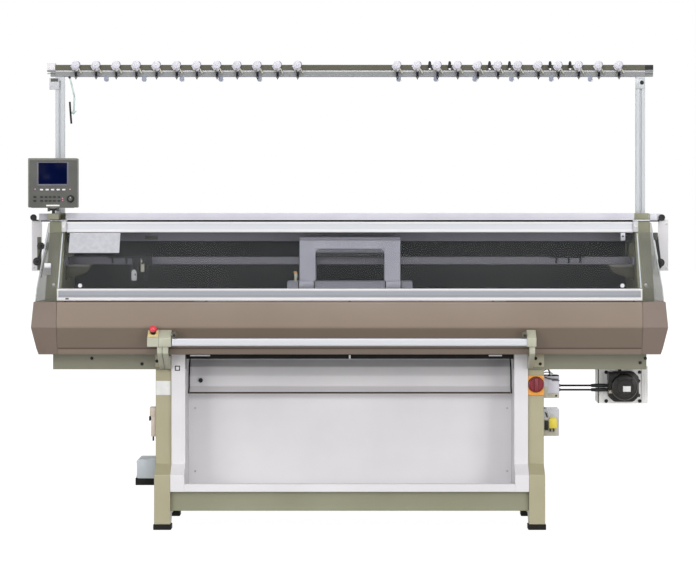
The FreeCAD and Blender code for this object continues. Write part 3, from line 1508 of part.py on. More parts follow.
def roller(name, y):
    """A roller across the machine with a shaft end in each column."""
    drum_end = column_inner - roller_end_gap
    drum = rod(name + "_drum", "x", roller_r, -drum_end, drum_end, y, roller_z, wheel_sides)
    shaft_x = column_inner + roller_shaft_in
    shaft = rod(name + "_shaft", "x", roller_shaft_r, -shaft_x, shaft_x, y, roller_z, shaft_sides)
    return joined(name, [drum, shaft])


node(roller("roller_front", -roller_y), "takedown_roller")
node(roller("roller_rear", roller_y), "nip_roller")

# Bent takedown cover: hangs from a hinge tube behind the rollers and brings the fabric to the front.
slide_half = column_inner - slide_side_gap
slide_bends = {"lip": (5, 3), "slope": (35, 37), "shoulder": (70, 74), "apron": (72, 120), "toe": (105, 151)}
slide_front = []
for place, (reach, drop) in slide_bends.items():
    bend_reach = size("takedown_cover_%s_reach" % place, reach)
    bend_drop = size("takedown_cover_%s_drop" % place, drop)
    slide_front.append((slide_hinge_y - bend_reach, slide_z - bend_drop))
slide_back = [(y + slide_t, z - slide_t / 2) for y, z in reversed(slide_front)]
slide_sheet = prism("slide_sheet", "x", slide_front + slide_back, -slide_half, slide_half * 2)
slide_strip = block(
    "slide_strip", (-slide_half, slide_half),
    (slide_hinge_y - slide_hinge_r, slide_hinge_y + slide_hinge_r),
    (slide_z - slide_hinge_r, slide_z + slide_hinge_r))
slide_pin_end = column_inner + slide_pin_in
slide_pins = [
    rod("slide_pin", "x", slide_pin_r, -slide_pin_end, over - slide_half, slide_hinge_y, slide_z,
        shaft_sides),
    rod("slide_pin", "x", slide_pin_r, slide_half - over, slide_pin_end, slide_hinge_y, slide_z,
        shaft_sides),
]
slide_whole = joined("slide_whole", [slide_sheet, slide_strip] + slide_pins)
lock_face = slide_front[2][0] - lock_seat
lock_bore = rod(
    "lock_bore", "y", lock_shaft_r + run_gap, lock_face - slide_t, lock_face + slide_t * 4, -lock_x, lock_z)
node(cut("slide_bored", slide_whole, lock_bore), "takedown_cover")

# Quarter-turn lock: round head in front, tongue behind the sheet.
lock_front = lock_face - free_gap
lock_head = rod("lock_head", "y", lock_r, lock_front - lock_t, lock_front, -lock_x, lock_z, shaft_sides)
lock_back = lock_face + slide_t * 2 + free_gap * 2
lock_shaft = rod(
    "lock_shaft", "y", lock_shaft_r, lock_front - over, lock_back + over, -lock_x, lock_z, shaft_sides)
lock_latch = block(
    "lock_latch", (-lock_x - lock_tongue, -lock_x + lock_shaft_r), (lock_back, lock_back + slide_t),
    (lock_z - lock_shaft_r, lock_z + lock_shaft_r))
node(joined("lock", [lock_head, lock_shaft, lock_latch]), "cover_lock")

# ---------------------------------------------------------------- yarn carrier

# Saddle over the second rail, with an arm down through the gap between the rails to the yarn tip.
saddle_y = rail_pitch * rail_places[1]
saddle_wall = rail_t / 2 + free_gap
saddle_back = saddle_y + saddle_wall + carrier_wall
carrier_span = (-carrier_x - carrier_half, carrier_half - carrier_x)
saddle = block(
    "saddle", carrier_span, (saddle_y - saddle_wall - carrier_wall, saddle_back),
    (rail_bottom - carrier_skirt, rail_top + free_gap + carrier_cap))
saddle_slot = block(
    "saddle_slot", (carrier_span[0] - over, carrier_span[1] + over),
    (saddle_y - saddle_wall, saddle_y + saddle_wall),
    (rail_bottom - carrier_skirt - over, rail_top + free_gap))
carrier_arm_y = (saddle_back - over, saddle_back + carrier_arm_t)
carrier_arm = block(
    "carrier_arm", (-carrier_x - carrier_arm_w / 2, carrier_arm_w / 2 - carrier_x), carrier_arm_y,
    (bed_apex + carriage_rise - carrier_skirt, rail_top))
carrier_tip = block(
    "carrier_tip", (-carrier_x - carrier_tip_w / 2, carrier_tip_w / 2 - carrier_x), carrier_arm_y,
    (bed_apex + carrier_tip_gap, bed_apex + carriage_rise))
saddle_slotted = cut("saddle_slotted", saddle, saddle_slot)
node(joined("carrier", [saddle_slotted, carrier_arm, carrier_tip]), "yarn_carrier")

# ---------------------------------------------------------------- control panel

mast_z = table_bottom + mast_h
mast_block = block(
    "mast_block", (-panel_x - mast_half, mast_half - panel_x), (-mast_front, -arm_block_front),
    (table_bottom, mast_z))
mast_bore = rod(
    "mast_bore", "z", neck_r + run_gap, mast_z - neck_in - bore_clear, mast_z + over, -panel_x, -neck_y)
node(cut("mast", mast_block, mast_bore), "panel_post")

neck_stem = rod("neck_stem", "z", neck_r, mast_z - neck_in, tilt_z, -panel_x, -neck_y, shaft_sides)
neck_head = block(
    "neck_head", (-panel_x - tilt_barrel_half, tilt_barrel_half - panel_x),
    (-neck_y - tilt_head_half, tilt_head_half - neck_y), (tilt_z - tilt_head_half, tilt_z + tilt_head_half))
pin_half = tilt_barrel_half + tilt_ear_t
neck_pin = rod(
    "neck_pin", "x", tilt_pin_r, -panel_x - pin_half, pin_half - panel_x, -neck_y, tilt_z, shaft_sides)
node(joined("neck", [neck_stem, neck_head, neck_pin]), "panel_neck")

case = new_body("panel_case")
case_pad = add_pad(
    case, "y", rect((-panel_x - panel_half, panel_half - panel_x), (panel_bottom, panel_bottom + panel_h)),
    -panel_front, panel_depth)
case_round = add_round(case, case_pad, panel_corner, lambda edge: along(edge, "y"))
screen_z = (panel_bottom + screen_rise, panel_bottom + screen_rise + screen_h)
screen = rect((-panel_x - screen_half, screen_half - panel_x), screen_z)
add_pocket(case, "y", screen, -panel_front, screen_depth)


def key(x, z, width):
    """One raised key on the face of the control panel."""
    key_y = (-panel_front - key_t, -panel_front + over)
    return block("key", (x - width / 2, x + width / 2), key_y, (z, z + key_h))


soft_z = panel_bottom + soft_key_rise
pad_z = panel_bottom + pad_key_rise
keys = [key(-panel_x + soft_key_pitch * place, soft_z, soft_key_w) for place in (-2, -1, 0, 1, 2)]
for row in (0, 1):
    keys.append(key(-panel_x - dial_x, pad_z + pad_key_row * row, soft_key_w))
ears = []
for side in (-1, 1):
    ear_low = tilt_barrel_half + free_gap
    ear_x = sorted((ear_low * side - panel_x, (ear_low + tilt_ear_t) * side - panel_x), key=number_of)
    ears.append(block("ear", ear_x, (-neck_y - tilt_ear_half, tilt_ear_half - neck_y),
                      (tilt_z - tilt_ear_half, panel_bottom + over)))
ear_bore_half = tilt_barrel_half + tilt_ear_t * 2
ear_bore = rod(
    "ear_bore", "x", tilt_pin_r + run_gap, -panel_x - ear_bore_half, ear_bore_half - panel_x,
    -neck_y, tilt_z)
dial_spot = dial_x - panel_x
dial_z = panel_bottom + dial_rise
dial_bore = rod(
    "dial_bore", "y", dial_shaft_r + run_gap, -panel_front - over, -panel_front + dial_shaft_in + bore_clear,
    dial_spot, dial_z)
panel_solid = joined("panel_solid", [case] + keys + ears)
node(cut("panel_bored", panel_solid, together("panel_bores", [ear_bore, dial_bore])), "control_panel")

dial_back = -panel_front - free_gap
dial_ring = ring_points((dial_spot, dial_z), dial_r, dial_sides)
dial_knob = prism("dial_knob", "y", dial_ring, dial_back - dial_t, dial_t)
dial_shaft = rod(
    "dial_shaft", "y", dial_shaft_r, dial_back - over, -panel_front + dial_shaft_in,
    dial_spot, dial_z, shaft_sides)
node(joined("dial", [dial_knob, dial_shaft]), "panel_dial")

# ---------------------------------------------------------------- check and write

doc.recompute()
for item in doc.Objects:
    if "Invalid" in item.State or "Error" in item.State:
        raise RuntimeError("%s did not build: %s" % (item.Label, item.State))
for item in nodes:
    shape = item.Shape
    if shape.isNull() or not shape.isValid() or not shape.Solids:
        raise RuntimeError("%s has no valid solid" % item.Label)
    shape.exportStep(os.path.join("parts", item.Label + ".step"))
print("%d nodes written, %d sizes" % (len(nodes), len(named_sizes)))
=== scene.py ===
# %% [markdown]
# # A computerised flat knitting machine
# The CAD model gives every piece its place and its motion. This script gives the pieces their finishes, swaps
# the plain ones for detailed ones, and adds the small parts that the CAD leaves out: screws, springs, knobs,
# keys and needles. Lengths are in metres, X to the right, Y to the back and Z up.

# %% Load the frame
import math

import bmesh
import bpy
from mathutils import Matrix, Vector


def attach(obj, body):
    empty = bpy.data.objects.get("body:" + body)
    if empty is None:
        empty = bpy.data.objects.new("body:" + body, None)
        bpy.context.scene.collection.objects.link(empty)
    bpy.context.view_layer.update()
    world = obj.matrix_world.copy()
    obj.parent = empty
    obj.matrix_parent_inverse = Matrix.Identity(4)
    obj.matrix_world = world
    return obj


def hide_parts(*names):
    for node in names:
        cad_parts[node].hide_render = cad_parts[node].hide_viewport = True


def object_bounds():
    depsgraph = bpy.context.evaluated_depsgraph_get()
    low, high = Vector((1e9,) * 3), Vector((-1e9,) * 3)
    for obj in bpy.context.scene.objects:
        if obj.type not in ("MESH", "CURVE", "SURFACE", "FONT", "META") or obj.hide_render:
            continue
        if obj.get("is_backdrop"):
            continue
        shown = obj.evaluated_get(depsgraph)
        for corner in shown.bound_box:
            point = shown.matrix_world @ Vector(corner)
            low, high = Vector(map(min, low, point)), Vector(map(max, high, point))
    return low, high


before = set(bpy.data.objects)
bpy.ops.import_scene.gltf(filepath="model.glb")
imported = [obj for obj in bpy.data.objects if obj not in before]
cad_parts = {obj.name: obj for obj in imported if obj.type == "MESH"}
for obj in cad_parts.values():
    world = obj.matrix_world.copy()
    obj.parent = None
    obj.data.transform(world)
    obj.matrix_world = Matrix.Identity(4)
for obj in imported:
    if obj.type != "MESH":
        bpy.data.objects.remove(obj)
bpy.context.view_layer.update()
mm = 0.001

# %% [markdown]
# ## Finishes
# Every surface of the machine is enamel, powder coat, bare metal, plastic or rubber. Each could be painted as
# an image, but a few noise textures on Object coordinates do it at any distance: slow clouds for the uneven
# colour, a fine grain for the relief, and gloss that varies with both. One small function adds a node with
# its settings and links, and one makes a finish from it.

# %% Nodes and colours
def linear(code):
    """A #rrggbb colour as the linear values that a shader takes."""
    parts = [int(code[i:i + 2], 16) / 255 for i in (1, 3, 5)]
    return [p / 12.92 if p <= 0.04045 else ((p + 0.055) / 1.055) ** 2.4 for p in parts] + [1.0]


def add_node(tree, kind, inputs=None, **settings):
    """One node of a tree: its settings, then its inputs, each linked to a socket or set to a value."""
    node = tree.nodes.new(kind)
    for name, value in settings.items():
        setattr(node, name, value)
    for name, value in (inputs or {}).items():
        if isinstance(value, bpy.types.NodeSocket):
            tree.links.new(value, node.inputs[name])
        else:
            node.inputs[name].default_value = value
    return node


def finish(name, colour, shade, patch, grain, relief, rough, stretch=(1, 1, 1), **sockets):
    """A surface with clouds between two colours, grain in relief, and uneven gloss.

    patch and grain are the sizes of the clouds and the grain, relief is the grain's height, rough is the
    range of roughness, and stretch below 1 on an axis draws the pattern out along it, as brushing does.
    """
    material = bpy.data.materials.new(name)
    material.use_nodes = True
    tree = material.node_tree
    shader = tree.nodes["Principled BSDF"]
    spot = add_node(tree, "ShaderNodeTexCoord").outputs["Object"]
    spot = add_node(tree, "ShaderNodeMapping", {"Vector": spot, "Scale": stretch}).outputs["Vector"]
    clouds = add_node(tree, "ShaderNodeTexNoise", {"Vector": spot, "Scale": 1 / patch, "Detail": 4.0})
    spread = add_node(tree, "ShaderNodeMapRange", {0: clouds.outputs[0], 1: 0.35, 2: 0.65})
    paint = add_node(tree, "ShaderNodeMix", {0: spread.outputs[0], 6: linear(colour), 7: linear(shade)},
                     data_type="RGBA")
    fine = add_node(tree, "ShaderNodeTexNoise", {"Vector": spot, "Scale": 1 / grain, "Detail": 2.0})
    both = add_node(tree, "ShaderNodeMath", {0: clouds.outputs[0], 1: fine.outputs[0]}, operation="ADD")
    gloss = add_node(tree, "ShaderNodeMapRange", {0: both.outputs[0], 1: 0.7, 2: 1.3, 3: rough[0],
                                                  4: rough[1]})
    bump = add_node(tree, "ShaderNodeBump", {"Height": fine.outputs[0], "Distance": relief, "Strength": 0.5})
    tree.links.new(paint.outputs[2], shader.inputs["Base Color"])
    tree.links.new(gloss.outputs[0], shader.inputs["Roughness"])
    tree.links.new(bump.outputs[0], shader.inputs["Normal"])
    for socket, value in sockets.items():
        shader.inputs[socket.replace("_", " ")].default_value = value
    return material


# %% [markdown]
# The stand and the bed frame are cast and welded, filled, and sprayed with a satin olive enamel that keeps a
# faint orange peel. The folded covers are sprayed brown, the panels have a fine textured powder coat.

# %% Enamels and powder coats
olive_enamel = finish("olive_enamel", "#a9a387", "#a19b7e", 0.35, 3 * mm, 0.15 * mm, (0.34, 0.46))
bracket_enamel = finish("bracket_enamel", "#afaf9d", "#a7a794", 0.2, 3 * mm, 0.15 * mm, (0.34, 0.46))
beam_enamel = finish("beam_enamel", "#7d7b69", "#757361", 0.35, 3 * mm, 0.15 * mm, (0.36, 0.48))
cross_enamel = finish("cross_enamel", "#8f8f78", "#87876f", 0.35, 3 * mm, 0.15 * mm, (0.36, 0.48))
brown_enamel = finish("brown_enamel", "#807062", "#7a6a5c", 0.5, 3 * mm, 0.12 * mm, (0.30, 0.42))
# A darker copy of the brown enamel: painted shade for the cover facet that faces down.
painted_shade_brown = finish("shaded_brown_enamel", "#6f6154", "#6a5c4f", 0.5, 3 * mm, 0.12 * mm, (0.34, 0.46))
cap_enamel = finish("cap_enamel", "#76675d", "#706156", 0.3, 3 * mm, 0.12 * mm, (0.32, 0.44))
seam_enamel = finish("seam_enamel", "#4d3d34", "#46372f", 0.3, 2 * mm, 0.10 * mm, (0.4, 0.5))
white_powder = finish("white_powder", "#dfdddf", "#d7d5d8", 0.4, 1.2 * mm, 0.10 * mm, (0.42, 0.55))
grey_powder = finish("grey_powder", "#c3c4c7", "#bbbcc0", 0.4, 1.2 * mm, 0.10 * mm, (0.42, 0.55))
lavender_powder = finish("lavender_powder", "#d4d3dc", "#cac9d3", 0.2, 1.2 * mm, 0.08 * mm, (0.38, 0.5))
suction_enamel = finish("suction_enamel", "#bcc3c9", "#b2bac0", 0.1, 2 * mm, 0.10 * mm, (0.38, 0.5))
dark_paint = finish("dark_paint", "#2a2924", "#24231f", 0.4, 2 * mm, 0.10 * mm, (0.55, 0.7))
motor_enamel = finish("motor_enamel", "#1b1813", "#15120e", 0.06, 1 * mm, 0.10 * mm, (0.3, 0.45),
                      Specular_IOR_Level=0.3)
strip_enamel = finish("strip_enamel", "#4a4636", "#423e2f", 0.15, 2 * mm, 0.10 * mm, (0.38, 0.5))
# A whiter copy of the white powder coat: painted light for the housing that sits in the shade under the
# cover.
housing_white_painted_light = finish("housing_white_painted_light", "#f4f3f1", "#ebeae8", 0.3, 1.2 * mm, 0.08 * mm, (0.4, 0.52))
beige_enamel = finish("beige_enamel", "#c4b8ab", "#b9ac9f", 0.1, 2 * mm, 0.10 * mm, (0.4, 0.5))
print("finishes so far:", len(bpy.data.materials))

# %% [markdown]
# The extrusions are anodised, so they are aluminium with a faint line along their length. The carriage is a
# grey-sprayed casting, the beds and shafts are ground steel, small hooks and screws are zinc-plated, and the
# catch on the carriage has a brass tip.

# %% Metals
anodised = finish("anodised_aluminium", "#c6c8cc", "#bec0c5", 0.2, 0.8 * mm, 0.01 * mm, (0.34, 0.46),
                  (0.02, 1, 1), Metallic=0.35)
anodised_bar = finish("anodised_bar", "#7f8181", "#797b7c", 0.2, 0.8 * mm, 0.01 * mm, (0.4, 0.5),
                      (0.02, 1, 1), Metallic=0.2)
anodised_post = finish("anodised_post", "#b4b7ba", "#abaeb2", 0.2, 0.8 * mm, 0.01 * mm, (0.36, 0.48),
                       (1, 1, 0.02), Metallic=0.3)
satin_anodised = finish("satin_anodised", "#9a9ea4", "#92969d", 0.2, 0.8 * mm, 0.01 * mm, (0.42, 0.52),
                        (0.02, 1, 1), Metallic=0.1)
cast_aluminium = finish("cast_aluminium", "#aaaab5", "#a0a0ac", 0.12, 1.5 * mm, 0.12 * mm, (0.4, 0.52),
                        Metallic=0.35)
rail_grey = finish("rail_grey", "#8b8893", "#807d88", 0.2, 1.5 * mm, 0.05 * mm, (0.4, 0.5), (0.05, 1, 1),
                   Metallic=0.3)
carrier_rail_grey = finish("carrier_rail_grey", "#6f6d76", "#66646d", 0.2, 1.5 * mm, 0.05 * mm, (0.4, 0.5),
                           (0.05, 1, 1), Metallic=0.3)
ground_steel = finish("ground_steel", "#b9babd", "#a8a9ad", 0.05, 0.6 * mm, 0.02 * mm, (0.22, 0.36),
                      (0.05, 1, 1), Metallic=1.0)
needle_steel = finish("needle_steel", "#c9cacd", "#b4b5b9", 0.02, 0.5 * mm, 0.01 * mm, (0.15, 0.28),
                      Metallic=1.0)
zinc_steel = finish("zinc_steel", "#c6c6c4", "#b0b0ae", 0.01, 0.6 * mm, 0.02 * mm, (0.25, 0.4), Metallic=1.0)
brass = finish("brass", "#b8935c", "#a37f4b", 0.01, 0.6 * mm, 0.02 * mm, (0.25, 0.4), Metallic=1.0)
black_oxide = finish("black_oxide_steel", "#1c1b1a", "#141312", 0.01, 0.6 * mm, 0.03 * mm, (0.35, 0.5),
                     Metallic=0.6)
print("finishes so far:", len(bpy.data.materials))

# %% [markdown]
# Moulded plastics carry the spark-eroded grain of their moulds. The emergency button and the switch are
# glossy, the knobs are satin, the labels are bare film, and the feet, rollers and belt are rubber.

# %% Plastics and rubber
black_plastic = finish("black_plastic", "#1d1d1f", "#161618", 0.05, 0.8 * mm, 0.05 * mm, (0.4, 0.55),
                       Specular_IOR_Level=0.3)
panel_plastic = finish("panel_plastic", "#4a4a45", "#44443f", 0.08, 0.8 * mm, 0.06 * mm, (0.42, 0.55))
bezel_plastic = finish("bezel_plastic", "#86869a", "#7b7b90", 0.05, 0.8 * mm, 0.04 * mm, (0.35, 0.45))
bezel_grey = finish("bezel_grey", "#5c5c6a", "#555563", 0.05, 0.8 * mm, 0.04 * mm, (0.35, 0.45))
edge_plastic = finish("edge_plastic", "#6b6b64", "#63635c", 0.05, 0.8 * mm, 0.05 * mm, (0.4, 0.5))
white_plastic = finish("white_plastic", "#e2e0e4", "#d6d4da", 0.03, 0.8 * mm, 0.03 * mm, (0.28, 0.4))
cream_plastic = finish("cream_plastic", "#bdbaa9", "#b0ad9b", 0.04, 0.8 * mm, 0.04 * mm, (0.35, 0.5))
yellow_plastic = finish("yellow_plastic", "#dccb3e", "#d2bd34", 0.04, 0.8 * mm, 0.04 * mm, (0.3, 0.45))
collar_plastic = finish("collar_plastic", "#ddc98e", "#d2bd80", 0.03, 0.8 * mm, 0.03 * mm, (0.3, 0.45))
stop_red = finish("stop_button_red", "#d92f40", "#cf2637", 0.02, 0.8 * mm, 0.02 * mm, (0.2, 0.32),
                  Coat_Weight=0.3)
switch_red = finish("switch_red", "#840d22", "#74091b", 0.02, 0.8 * mm, 0.02 * mm, (0.22, 0.34))
switch_yellow = finish("switch_yellow", "#f0a232", "#e8982a", 0.03, 0.8 * mm, 0.03 * mm, (0.3, 0.42))
blue_grey_plastic = finish("blue_grey_plastic", "#8e95a5", "#818899", 0.02, 0.8 * mm, 0.03 * mm, (0.35, 0.45))
mint_plastic = finish("mint_plastic", "#b5c6c3", "#a6b9b6", 0.03, 0.8 * mm, 0.03 * mm, (0.3, 0.42))
pink_lamp = finish("pink_lamp", "#cc93a8", "#b97f96", 0.004, 0.8 * mm, 0.02 * mm, (0.2, 0.3))
screen_blue = finish("screen_blue", "#010a34", "#010729", 0.06, 0.8 * mm, 0.005 * mm, (0.14, 0.22),
                     Specular_IOR_Level=0.02)
bare_label = finish("bare_label", "#e6e6e4", "#dcdcda", 0.03, 0.6 * mm, 0.01 * mm, (0.4, 0.5))
backing_label = finish("backing_label", "#babbc0", "#aeafb4", 0.02, 6 * mm, 0.01 * mm, (0.4, 0.5))
black_rubber = finish("black_rubber", "#171615", "#111110", 0.05, 1.2 * mm, 0.12 * mm, (0.6, 0.75),
                      Specular_IOR_Level=0.2)
roller_rubber = finish("roller_rubber", "#3a3836", "#302e2c", 0.05, 0.9 * mm, 0.15 * mm, (0.6, 0.75))
print("finishes so far:", len(bpy.data.materials))

# %% [markdown]
# The windows are clear acrylic sheet. Real refraction would cost much light and time and show little on a
# thin flat sheet, so the sheet is mostly transparent by its alpha, with a faint grey haze and the usual
# reflection.

# %% Clear acrylic
acrylic = finish("clear_acrylic", "#343b40", "#2c3338", 0.3, 4 * mm, 0.02 * mm, (0.05, 0.1), IOR=1.49,
                 Alpha=0.10)
smoked_acrylic = finish("smoked_acrylic", "#66665f", "#5e5e57", 0.2, 4 * mm, 0.02 * mm, (0.06, 0.12),
                        IOR=1.49, Alpha=0.33)
# The polished edges of the sheets: their pale colour is a painted highlight, the bright line of light along
# an edge.
acrylic_edge_painted_highlight = finish("acrylic_edge_painted_highlight", "#dfe6ea", "#d2dade", 0.1, 2 * mm, 0.02 * mm, (0.15, 0.25), Alpha=0.75)
print("finishes in all:", len(bpy.data.materials))

# %% [markdown]
# ## Finishing the CAD pieces
# A CAD piece is exact but its edges are razor sharp, and no real casting or folded sheet is. Its mesh is
# loose triangles, so the modifiers first weld them and dissolve the flat ones into whole faces, and then a
# small bevel breaks every real edge. The shape itself stays the CAD's.

# %% Finishes of the CAD pieces
def ease(node, width, angle=32):
    """Break the edges of a CAD piece."""
    weld = node.modifiers.new("weld", "WELD")
    weld.merge_threshold = 0.02 * mm
    flats = node.modifiers.new("flats", "DECIMATE")
    flats.decimate_type = "DISSOLVE"
    flats.angle_limit = math.radians(0.5)
    edges = node.modifiers.new("edges", "BEVEL")
    edges.width = width
    edges.segments = 2
    edges.limit_method = "ANGLE"
    edges.angle_limit = math.radians(angle)
    edges.harden_normals = True


cad_finishes = {
    "foot_pads": (black_rubber, 3), "left_side_frame": (olive_enamel, 3),
    "right_side_frame": (olive_enamel, 3), "cross_beams": (cross_enamel, 2.5),
    "bed_frame": (beam_enamel, 1.5), "left_side_panel": (white_powder, 1.5),
    "right_side_panel": (white_powder, 1.5), "fabric_tray": (white_powder, 1.5),
    "lower_panel": (white_powder, 1), "control_cabinet": (grey_powder, 1.5),
    "front_needle_bed": (ground_steel, 0), "rear_needle_bed": (ground_steel, 0),
    "front_cover": (brown_enamel, 0), "rear_cover": (brown_enamel, 0), "left_end_cap": (cap_enamel, 1.2),
    "right_end_cap": (cap_enamel, 1.2), "left_side_arm": (cross_enamel, 2),
    "right_side_arm": (cross_enamel, 2), "carrier_rails": (carrier_rail_grey, 0.6),
    "back_panel": (dark_paint, 0.8), "upper_rail": (rail_grey, 1), "window_hinge_rod": (ground_steel, 0),
    "yarn_table": (lavender_powder, 0.8), "stand_posts": (anodised_post, 0.8),
    "top_bar": (anodised_bar, 0.8), "tension_plate": (strip_enamel, 0.8),
    "tension_units": (white_plastic, 0), "side_tension_plates": (white_powder, 0.8),
    "side_tension_arms": (black_plastic, 0), "left_side_window": (smoked_acrylic, 0),
    "right_side_window": (smoked_acrylic, 0), "bar_brackets": (bracket_enamel, 0),
    "stop_button_box": (bracket_enamel, 2), "switch_plate": (switch_yellow, 1),
    "terminal_boxes": (lavender_powder, 2), "motor_bracket": (housing_white_painted_light, 1),
    "drive_motor": (motor_enamel, 0), "motor_cables": (black_rubber, 0),
    "suction_unit": (suction_enamel, 0), "drive_belt": (black_rubber, 0), "panel_post": (beam_enamel, 2),
    "front_carriage": (cast_aluminium, 2.5), "rear_carriage": (cast_aluminium, 2.5),
    "carriage_arch": (cast_aluminium, 2.5), "drive_pulley": (cast_aluminium, 0),
    "idler_pulley": (cast_aluminium, 0), "yarn_carrier": (black_plastic, 0.8), "front_window": (acrylic, 0),
    "window_lower_rail": (satin_anodised, 1), "window_top_rail": (anodised, 1),
    "takedown_cover": (white_powder, 0), "cover_lock": (black_plastic, 0.6), "start_bar": (anodised, 0),
    "stop_button": (stop_red, 0), "main_switch_rotor": (switch_red, 0),
    "control_panel": (panel_plastic, 0.8), "panel_neck": (black_plastic, 0.6),
    "panel_dial": (black_plastic, 0), "takedown_roller": (roller_rubber, 0),
    "nip_roller": (ground_steel, 0),
}
for name, (material, width) in cad_finishes.items():
    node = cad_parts[name]
    node.data.materials.clear()
    node.data.materials.append(material)
    if width:
        ease(node, width * mm)
print("finished CAD pieces:", len(cad_finishes), "of", len(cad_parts))

# %% [markdown]
# ## The camera, the light and the floor
# The photograph is a long-lens view, level with the yarn table and square to the machine. Seven soft lamps
# and a pale world light it evenly, most from both sides of the front, so that colours render about as they
# are written. Two low ones reach under the deck. The floor keeps the shadow near the machine and fades into
# the white background further out.

# %% Camera
camera_data = bpy.data.cameras.new("camera")
camera_data.lens = 147.3
camera_data.sensor_width = 36
camera_data.shift_x = -0.0273
camera_data.shift_y = -0.0866
camera_data.clip_end = 200
camera = bpy.data.objects.new("camera", camera_data)
camera.location = (0.075, -12.63, 1.334)
camera.rotation_euler = (math.radians(90), 0, 0)
bpy.context.scene.collection.objects.link(camera)
bpy.context.scene.camera = camera
bpy.context.scene.view_settings.view_transform = "Standard"


# %% Lamps and world
def soft_lamp(name, spot, aim, width, power):
    """A square area lamp that looks at a point."""
    lamp = bpy.data.lights.new(name, "AREA")
    lamp.size = width
    lamp.energy = power
    holder = bpy.data.objects.new(name, lamp)
    holder.location = spot
    holder.rotation_euler = (Vector(aim) - Vector(spot)).to_track_quat("-Z", "Y").to_euler()
    bpy.context.scene.collection.objects.link(holder)


soft_lamp("left_lamp", (-5.5, -8.5, 3.0), (0, 0, 0.8), 3.5, 158)
soft_lamp("right_lamp", (5.5, -8.5, 3.0), (0, 0, 0.8), 3.5, 158)
soft_lamp("high_lamp", (0.0, -9.0, 5.2), (0, 0, 0.8), 3.5, 165)
soft_lamp("top_lamp", (0.0, -3.5, 6.5), (0, 0, 0.8), 4.0, 110)
soft_lamp("low_left_lamp", (-3.6, -8.0, 0.7), (0, 0, 0.6), 1.2, 52)
soft_lamp("low_right_lamp", (3.6, -8.0, 0.7), (0, 0, 0.6), 1.2, 52)
soft_lamp("rear_lamp", (2.0, 7.0, 4.0), (0, 0, 1.0), 4.0, 120)

world = bpy.data.worlds.new("studio")
bpy.context.scene.world = world
world.use_nodes = True
tree = world.node_tree
background = tree.nodes["Background"]
path = add_node(tree, "ShaderNodeLightPath")
sight = add_node(tree, "ShaderNodeMath", {0: path.outputs["Is Camera Ray"], 1: path.outputs["Is Glossy Ray"]},
                 operation="MAXIMUM")
sight = add_node(tree, "ShaderNodeMath", {0: sight.outputs[0], 1: path.outputs["Is Transmission Ray"]},
                 operation="MAXIMUM")
level = add_node(tree, "ShaderNodeMapRange", {0: sight.outputs[0], 3: 0.5, 4: 1.0})
background.inputs["Color"].default_value = (1.0, 1.0, 1.0, 1.0)
tree.links.new(level.outputs[0], background.inputs["Strength"])

# %% Floor
floor_mesh = bpy.data.meshes.new("floor")
corners = [(-60, -60, 0), (60, -60, 0), (60, 60, 0), (-60, 60, 0)]
floor_mesh.from_pydata(corners, [], [(0, 1, 2, 3)])
floor = bpy.data.objects.new("floor", floor_mesh)
bpy.context.scene.collection.objects.link(floor)
floor_paint = bpy.data.materials.new("white_floor")
floor_paint.use_nodes = True
tree = floor_paint.node_tree
matt = tree.nodes["Principled BSDF"]
matt.inputs["Base Color"].default_value = (0.6, 0.6, 0.6, 1.0)
matt.inputs["Roughness"].default_value = 0.9
spot = add_node(tree, "ShaderNodeTexCoord").outputs["Object"]
reach = add_node(tree, "ShaderNodeVectorMath", {0: spot}, operation="LENGTH")
fade = add_node(tree, "ShaderNodeMapRange", {0: reach.outputs["Value"], 1: 1.2, 2: 3.5, 3: 0.88, 4: 1.0})
path = add_node(tree, "ShaderNodeLightPath")
sight = add_node(tree, "ShaderNodeMath", {0: path.outputs["Is Camera Ray"], 1: path.outputs["Is Glossy Ray"]},
                 operation="MAXIMUM")
share = add_node(tree, "ShaderNodeMath", {0: fade.outputs[0], 1: sight.outputs[0]}, operation="MULTIPLY")
glow = add_node(tree, "ShaderNodeEmission", {"Color": (1.0, 1.0, 1.0, 1.0), "Strength": 1.12})
mix = add_node(tree, "ShaderNodeMixShader", {0: share.outputs[0], 1: matt.outputs[0], 2: glow.outputs[0]})
tree.links.new(mix.outputs[0], tree.nodes["Material Output"].inputs["Surface"])
floor_mesh.materials.append(floor_paint)
floor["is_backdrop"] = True
print("camera, lamps and floor are set")

# %% [markdown]
# ## A bench for new pieces
# Most small parts are blocks, plates, turned shapes and bent wires. The bench collects such solids in one
# mesh, each in its own finish and with its edges broken, and hands over one piece that rides on a body of the
# CAD. Everything on the bench is measured in millimetres, as on a drawing, and becomes metres as it is laid
# down.

# %% The bench
AXES = {"x": (0, 1, 2), "y": (1, 0, 2), "z": (2, 0, 1)}


def point(axis, along, first, second):
    """A point from its coordinate along an axis and its two others, in order."""
    spot = Vector((0, 0, 0))
    for index, value in zip(AXES[axis], (along, first, second)):
        spot[index] = value
    return spot


def smooth(piece, angle=35):
    """Shade a mesh smooth, with sharp edges where it turns by more than the angle."""
    piece.data.polygons.foreach_set("use_smooth", [True] * len(piece.data.polygons))
    piece.data.set_sharp_from_angle(angle=math.radians(angle))


